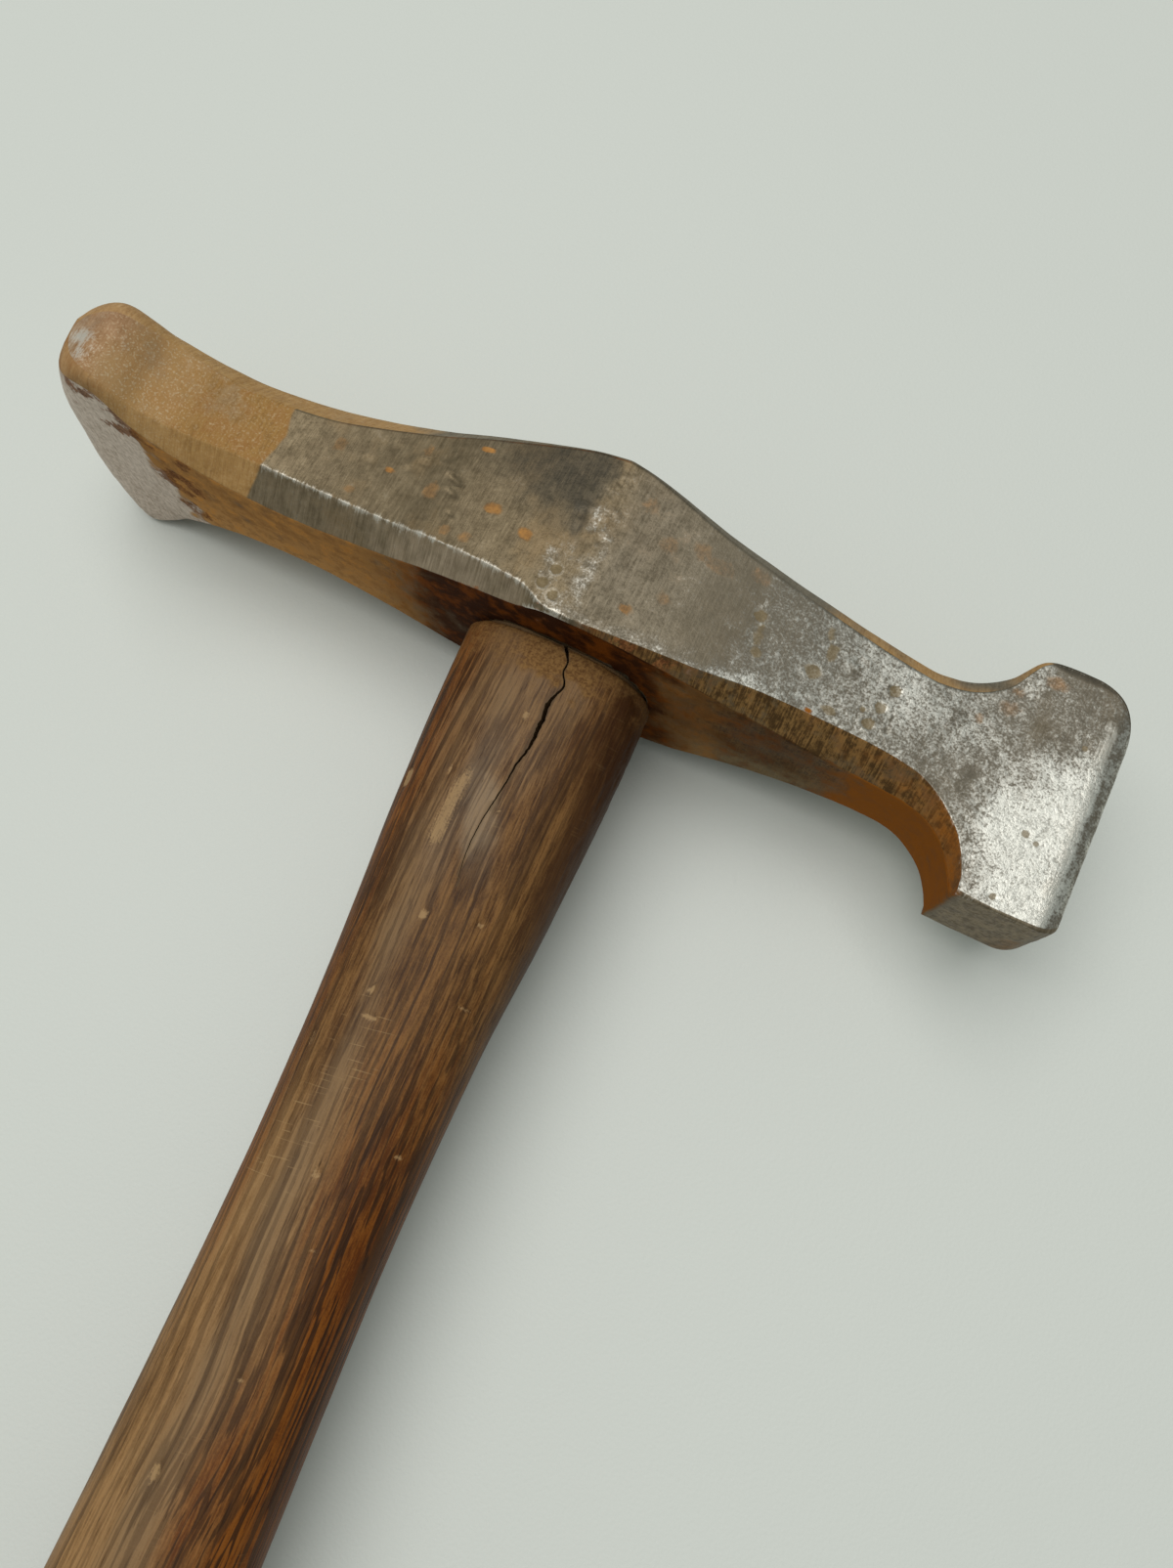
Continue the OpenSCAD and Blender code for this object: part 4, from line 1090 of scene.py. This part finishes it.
    powder = rust_share.most(soot_share * 0.9).most(blotched * 0.9)
    metallic = (0.62 + bare * 0.25) * (1 - ochre_share * 0.85) * (1 - stain_share * 0.6)
    metallic = metallic * (1 - powder) * (1 - brown * 0.7)
    metallic = metallic.most(bright_share * 0.8) * (1 - pale * 0.35)
    gloss = 0.47 - bare * 0.07 + pit * 0.14 + ochre_share * 0.05 + gritty * 0.2
    gloss = (gloss + stain_share * 0.12 + powder * 0.42 - bright_share * 0.08 + brown * 0.12).least(0.92)
    height = stroke * 0.7 + gritty * (0.6 + silver * 1.0 + ochre * 0.5 + soot * 0.6)
    height = height + specked * (0.25 + rust * 0.6)
    return f.done(colour, gloss, metallic, height, 0.06, specular=0.06)


def make_wood():
    """Old open-grained wood: dark pores along the handle, grey where it is handled, with a painted sheen down
    the middle, red where it is not.
    """
    f = Finish("dark open wood")
    p = f.place()
    x, y, z = f.parts(p)
    c, s = math.cos(HANDLE_LEAN), math.sin(HANDLE_LEAN)
    dx, dy = x - EYE_PLACE.x, y - EYE_PLACE.y
    u, v = dx * c + dy * s, dx * s - dy * c
    grey, warm, light, dust, dark, scratch, nick, raw = f.marks(HANDLE_ZONES)

    # The grain sways a little; broad and narrow streaks follow it
    sway = f.noise(f.join(u * 0.03, v * 0.015, z * 0.03), 1.0, 1.0) - 0.5
    across, deep = u + sway * 9.0, z + sway * 5.0
    broad = f.noise(f.join(across * 0.70, v * 0.012, deep * 0.6), 1.0, 1.0, 0.45)
    narrow = f.noise(f.join(across * 1.35, v * 0.012, deep * 1.2), 1.0, 1.0, 0.45)
    patchy = f.noise(f.join(u * 0.16, v * 0.05, z * 0.16), 1.0, 3.0, 0.6) - 0.5
    fibre = f.noise(f.join(u * 3.0, v * 0.22, z * 3.0), 1.0, 3.0, 0.7)
    speck = f.noise(p, 3.0, 2.0, 0.6)
    crumb = f.noise(p, 1.3, 3.0, 0.7)
    fibrous, specked = fibre - 0.5, speck - 0.5

    # Brown, paler where it is worn light, red where it is warm, grey where it is handled and where the sheen
    # down the middle is painted
    tone = 0.5 + patchy * 1.0 + fibrous * 1.3 + specked * 0.4
    brown = f.blend(tone.ramp(0.2, 0.8), (0.08, 0.033, 0.009), (0.205, 0.098, 0.03))
    worn_brown = f.blend(tone.ramp(0.1, 0.9), (0.2, 0.102, 0.035), (0.345, 0.195, 0.08))
    red = f.blend(tone.ramp(0.25, 0.75), (0.09, 0.022, 0.002), (0.195, 0.06, 0.006))
    beside_crack = v.ramp(64, 54) * v.ramp(30, 38) * u.ramp(-8, -4) * u.ramp(9, 5)
    grey_wear_and_sheen = f.blend(beside_crack, (0.2, 0.125, 0.061), (0.265, 0.185, 0.11))
    # Dark streaks of the grain, broad and narrow, and short pores
    streak = (broad + fibrous * 0.12).ramp(0.47, 0.39) * (warm * 0.3 + 0.5 - light * 0.14)
    vein = (narrow + fibrous * 0.1).ramp(0.465, 0.405) * (warm * 0.55 + 0.38 - light * 0.12)
    pore = fibre.ramp(0.37, 0.27)
    # Rust dust at the shoulder, scratches and nicks
    dusty = (dust + (crumb - 0.5) * 0.5 + patchy * 0.5).ramp(0.15, 0.9)
    rusty = f.blend((crumb * 0.7 + speck * 0.3).ramp(0.38, 0.6), (0.095, 0.04, 0.01), (0.21, 0.108, 0.033))
    thin = f.noise(f.join(u * 0.2, v * 3.4 + u * 0.5, z * 0.2), 1.0, 0.0, 0.5)
    scratched = thin.ramp(0.7, 0.76) * (scratch + patchy * 0.6).ramp(0.2, 0.9)
    nicked = (nick + specked * 0.8 + fibrous * 0.7).ramp(0.3, 0.85)
    colour = f.coats(
        f.blend(light, brown, worn_brown),
        ((warm + (narrow - 0.5) * 0.6 + patchy * 0.6).ramp(0.05, 0.95), red),
        ((grey + patchy * 0.8 + fibrous * 0.6).ramp(0.1, 0.95) * 0.66, grey_wear_and_sheen),
        (streak * (1 - dust * 0.8), (0.045, 0.02, 0.007)),
        (vein.least(0.9) * (1 - dust), (0.024, 0.009, 0.003)),
        (pore * 0.5, (0.026, 0.013, 0.006)),
        ((dark + (narrow - 0.5) * 1.2).ramp(0.1, 0.9) * 0.72, (0.032, 0.009, 0.002)),
        (dusty * 0.85, rusty),
        (raw * 0.55, (0.12, 0.08, 0.045)),
        (scratched * 0.45, (0.36, 0.225, 0.1)),
        (nicked * 0.68, (0.37, 0.228, 0.102)))

    gloss = 0.5 - grey * 0.08 + dusty * 0.35 + fibrous * 0.3 + pore * 0.2 + raw * 0.2
    height = fibrous * 1.1 + specked * 0.3 + (crumb - 0.5) * dust * 2.0
    return f.done(colour, gloss.least(0.95), 0.0, height, 0.09, specular=0.13)


def make_wedge_wood():
    """Pale split wood of the wooden wedge, stained by rust and grease."""
    f = Finish("stained wedge wood")
    p = f.place()
    x, y, z = f.parts(p)
    fibre = f.noise(f.join(x * 3.1, y * 0.9, z * 3.1), 1.0, 3.0, 0.65)
    stain = f.noise(p, 0.45, 2.0, 0.6)
    colour = f.blend(fibre.ramp(0.3, 0.7), (0.125, 0.078, 0.038), (0.27, 0.185, 0.10))
    colour = f.blend(stain.ramp(0.46, 0.66) * 0.7, colour, (0.11, 0.048, 0.016))
    return f.done(colour, 0.62 + (fibre - 0.5) * 0.3, 0.0, fibre, 0.08, specular=0.15)


def make_wedge_iron():
    """Hammered and rusted iron of the small wedge."""
    f = Finish("rusted wedge iron")
    p = f.place()
    grit, patch = f.noise(p, 2.2, 3.0, 0.7), f.noise(p, 0.55, 2.0, 0.6)
    rusty = (patch * 0.6 + grit * 0.4).ramp(0.42, 0.56)
    iron = f.blend(grit.ramp(0.35, 0.65), (0.075, 0.062, 0.048), (0.24, 0.21, 0.165))
    rust = f.blend(grit.ramp(0.35, 0.62), (0.060, 0.020, 0.006), (0.22, 0.092, 0.026))
    metallic, height = 0.85 * (1 - rusty), grit + patch * 0.6
    return f.done(f.blend(rusty, iron, rust), 0.45 + rusty * 0.42, metallic, height, 0.1, specular=0.1)


for piece, node, slot, finish in ((head, "head", "forged_steel", make_steel()),
                                  (handle, "handle", "handle_wood", make_wood()),
                                  (wood_wedge, "wood_wedge", "wedge_wood", make_wedge_wood()),
                                  (steel_wedge, "steel_wedge", "wedge_steel", make_wedge_iron())):
    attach(piece, "root")
    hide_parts(node)
    piece.data.shade_smooth()
    piece.data.set_sharp_from_angle(angle=SHARP_ANGLE)
    piece.data.materials.clear()
    piece.data.materials.append(finish)


# ---------------- table, light and camera

# The table: height of its top in millimetres, half its side in metres
TABLE_TOP, TABLE_HALF = -25.3, 3.0
TABLE_COLOUR, TABLE_GLOSS = (0.60, 0.61, 0.56, 1.0), 0.55
# The window's place, the place it faces, its side in metres and its power
WINDOW = (-0.6, 0.22, 2.6), (-0.09, -0.05, 0.0), 2.4, 62.0
SKY_COLOUR, SKY_POWER = (0.86, 0.975, 0.955, 1.0), 0.34
# The camera, fitted to the parallel edges of the photographed head
CAMERA_PLACE = Vector((-53.97, -76.71, 195.0)) * MM
CAMERA_TURN = [math.radians(a) for a in (15.485, 0.459, 26.0)]
FILM_WIDTH, FRAME_HEIGHT, FOCAL_PIXELS = 36.0, 1604, 1202


def make_table():
    f = Finish("pale table")
    material = f.done(TABLE_COLOUR, TABLE_GLOSS, 0.0, f.noise(f.place(), 1.4), 0.06)
    bm = bmesh.new()
    bmesh.ops.create_grid(bm, x_segments=1, y_segments=1, size=TABLE_HALF)
    floor = make_piece(bm, "table_top")
    floor.data.materials.append(material)
    floor.location = (0, 0, TABLE_TOP * MM)


def area_light(name, place, aim, size, power):
    data = bpy.data.lights.new(name, "AREA")
    data.shape, data.size, data.size_y, data.energy = "RECTANGLE", size, size, power
    lamp = into_scene(name, data)
    lamp.location = place
    lamp.rotation_mode = "QUATERNION"
    lamp.rotation_quaternion = (Vector(aim) - Vector(place)).to_track_quat("-Z", "Y")


make_table()
area_light("soft_window", *WINDOW)

world = bpy.data.worlds.new("studio")
world.use_nodes = True
sky = world.node_tree.nodes["Background"]
sky.inputs[0].default_value, sky.inputs[1].default_value = SKY_COLOUR, SKY_POWER
bpy.context.scene.world = world

camera_data = bpy.data.cameras.new("camera")
camera_data.sensor_width = FILM_WIDTH
camera_data.lens = FOCAL_PIXELS / FRAME_HEIGHT * FILM_WIDTH
camera_data.clip_start, camera_data.clip_end = 0.01, 10.0
camera = into_scene("camera", camera_data)
camera.location, camera.rotation_euler = CAMERA_PLACE, CAMERA_TURN
bpy.context.scene.camera = camera
bpy.context.scene.view_settings.view_transform = "Standard"
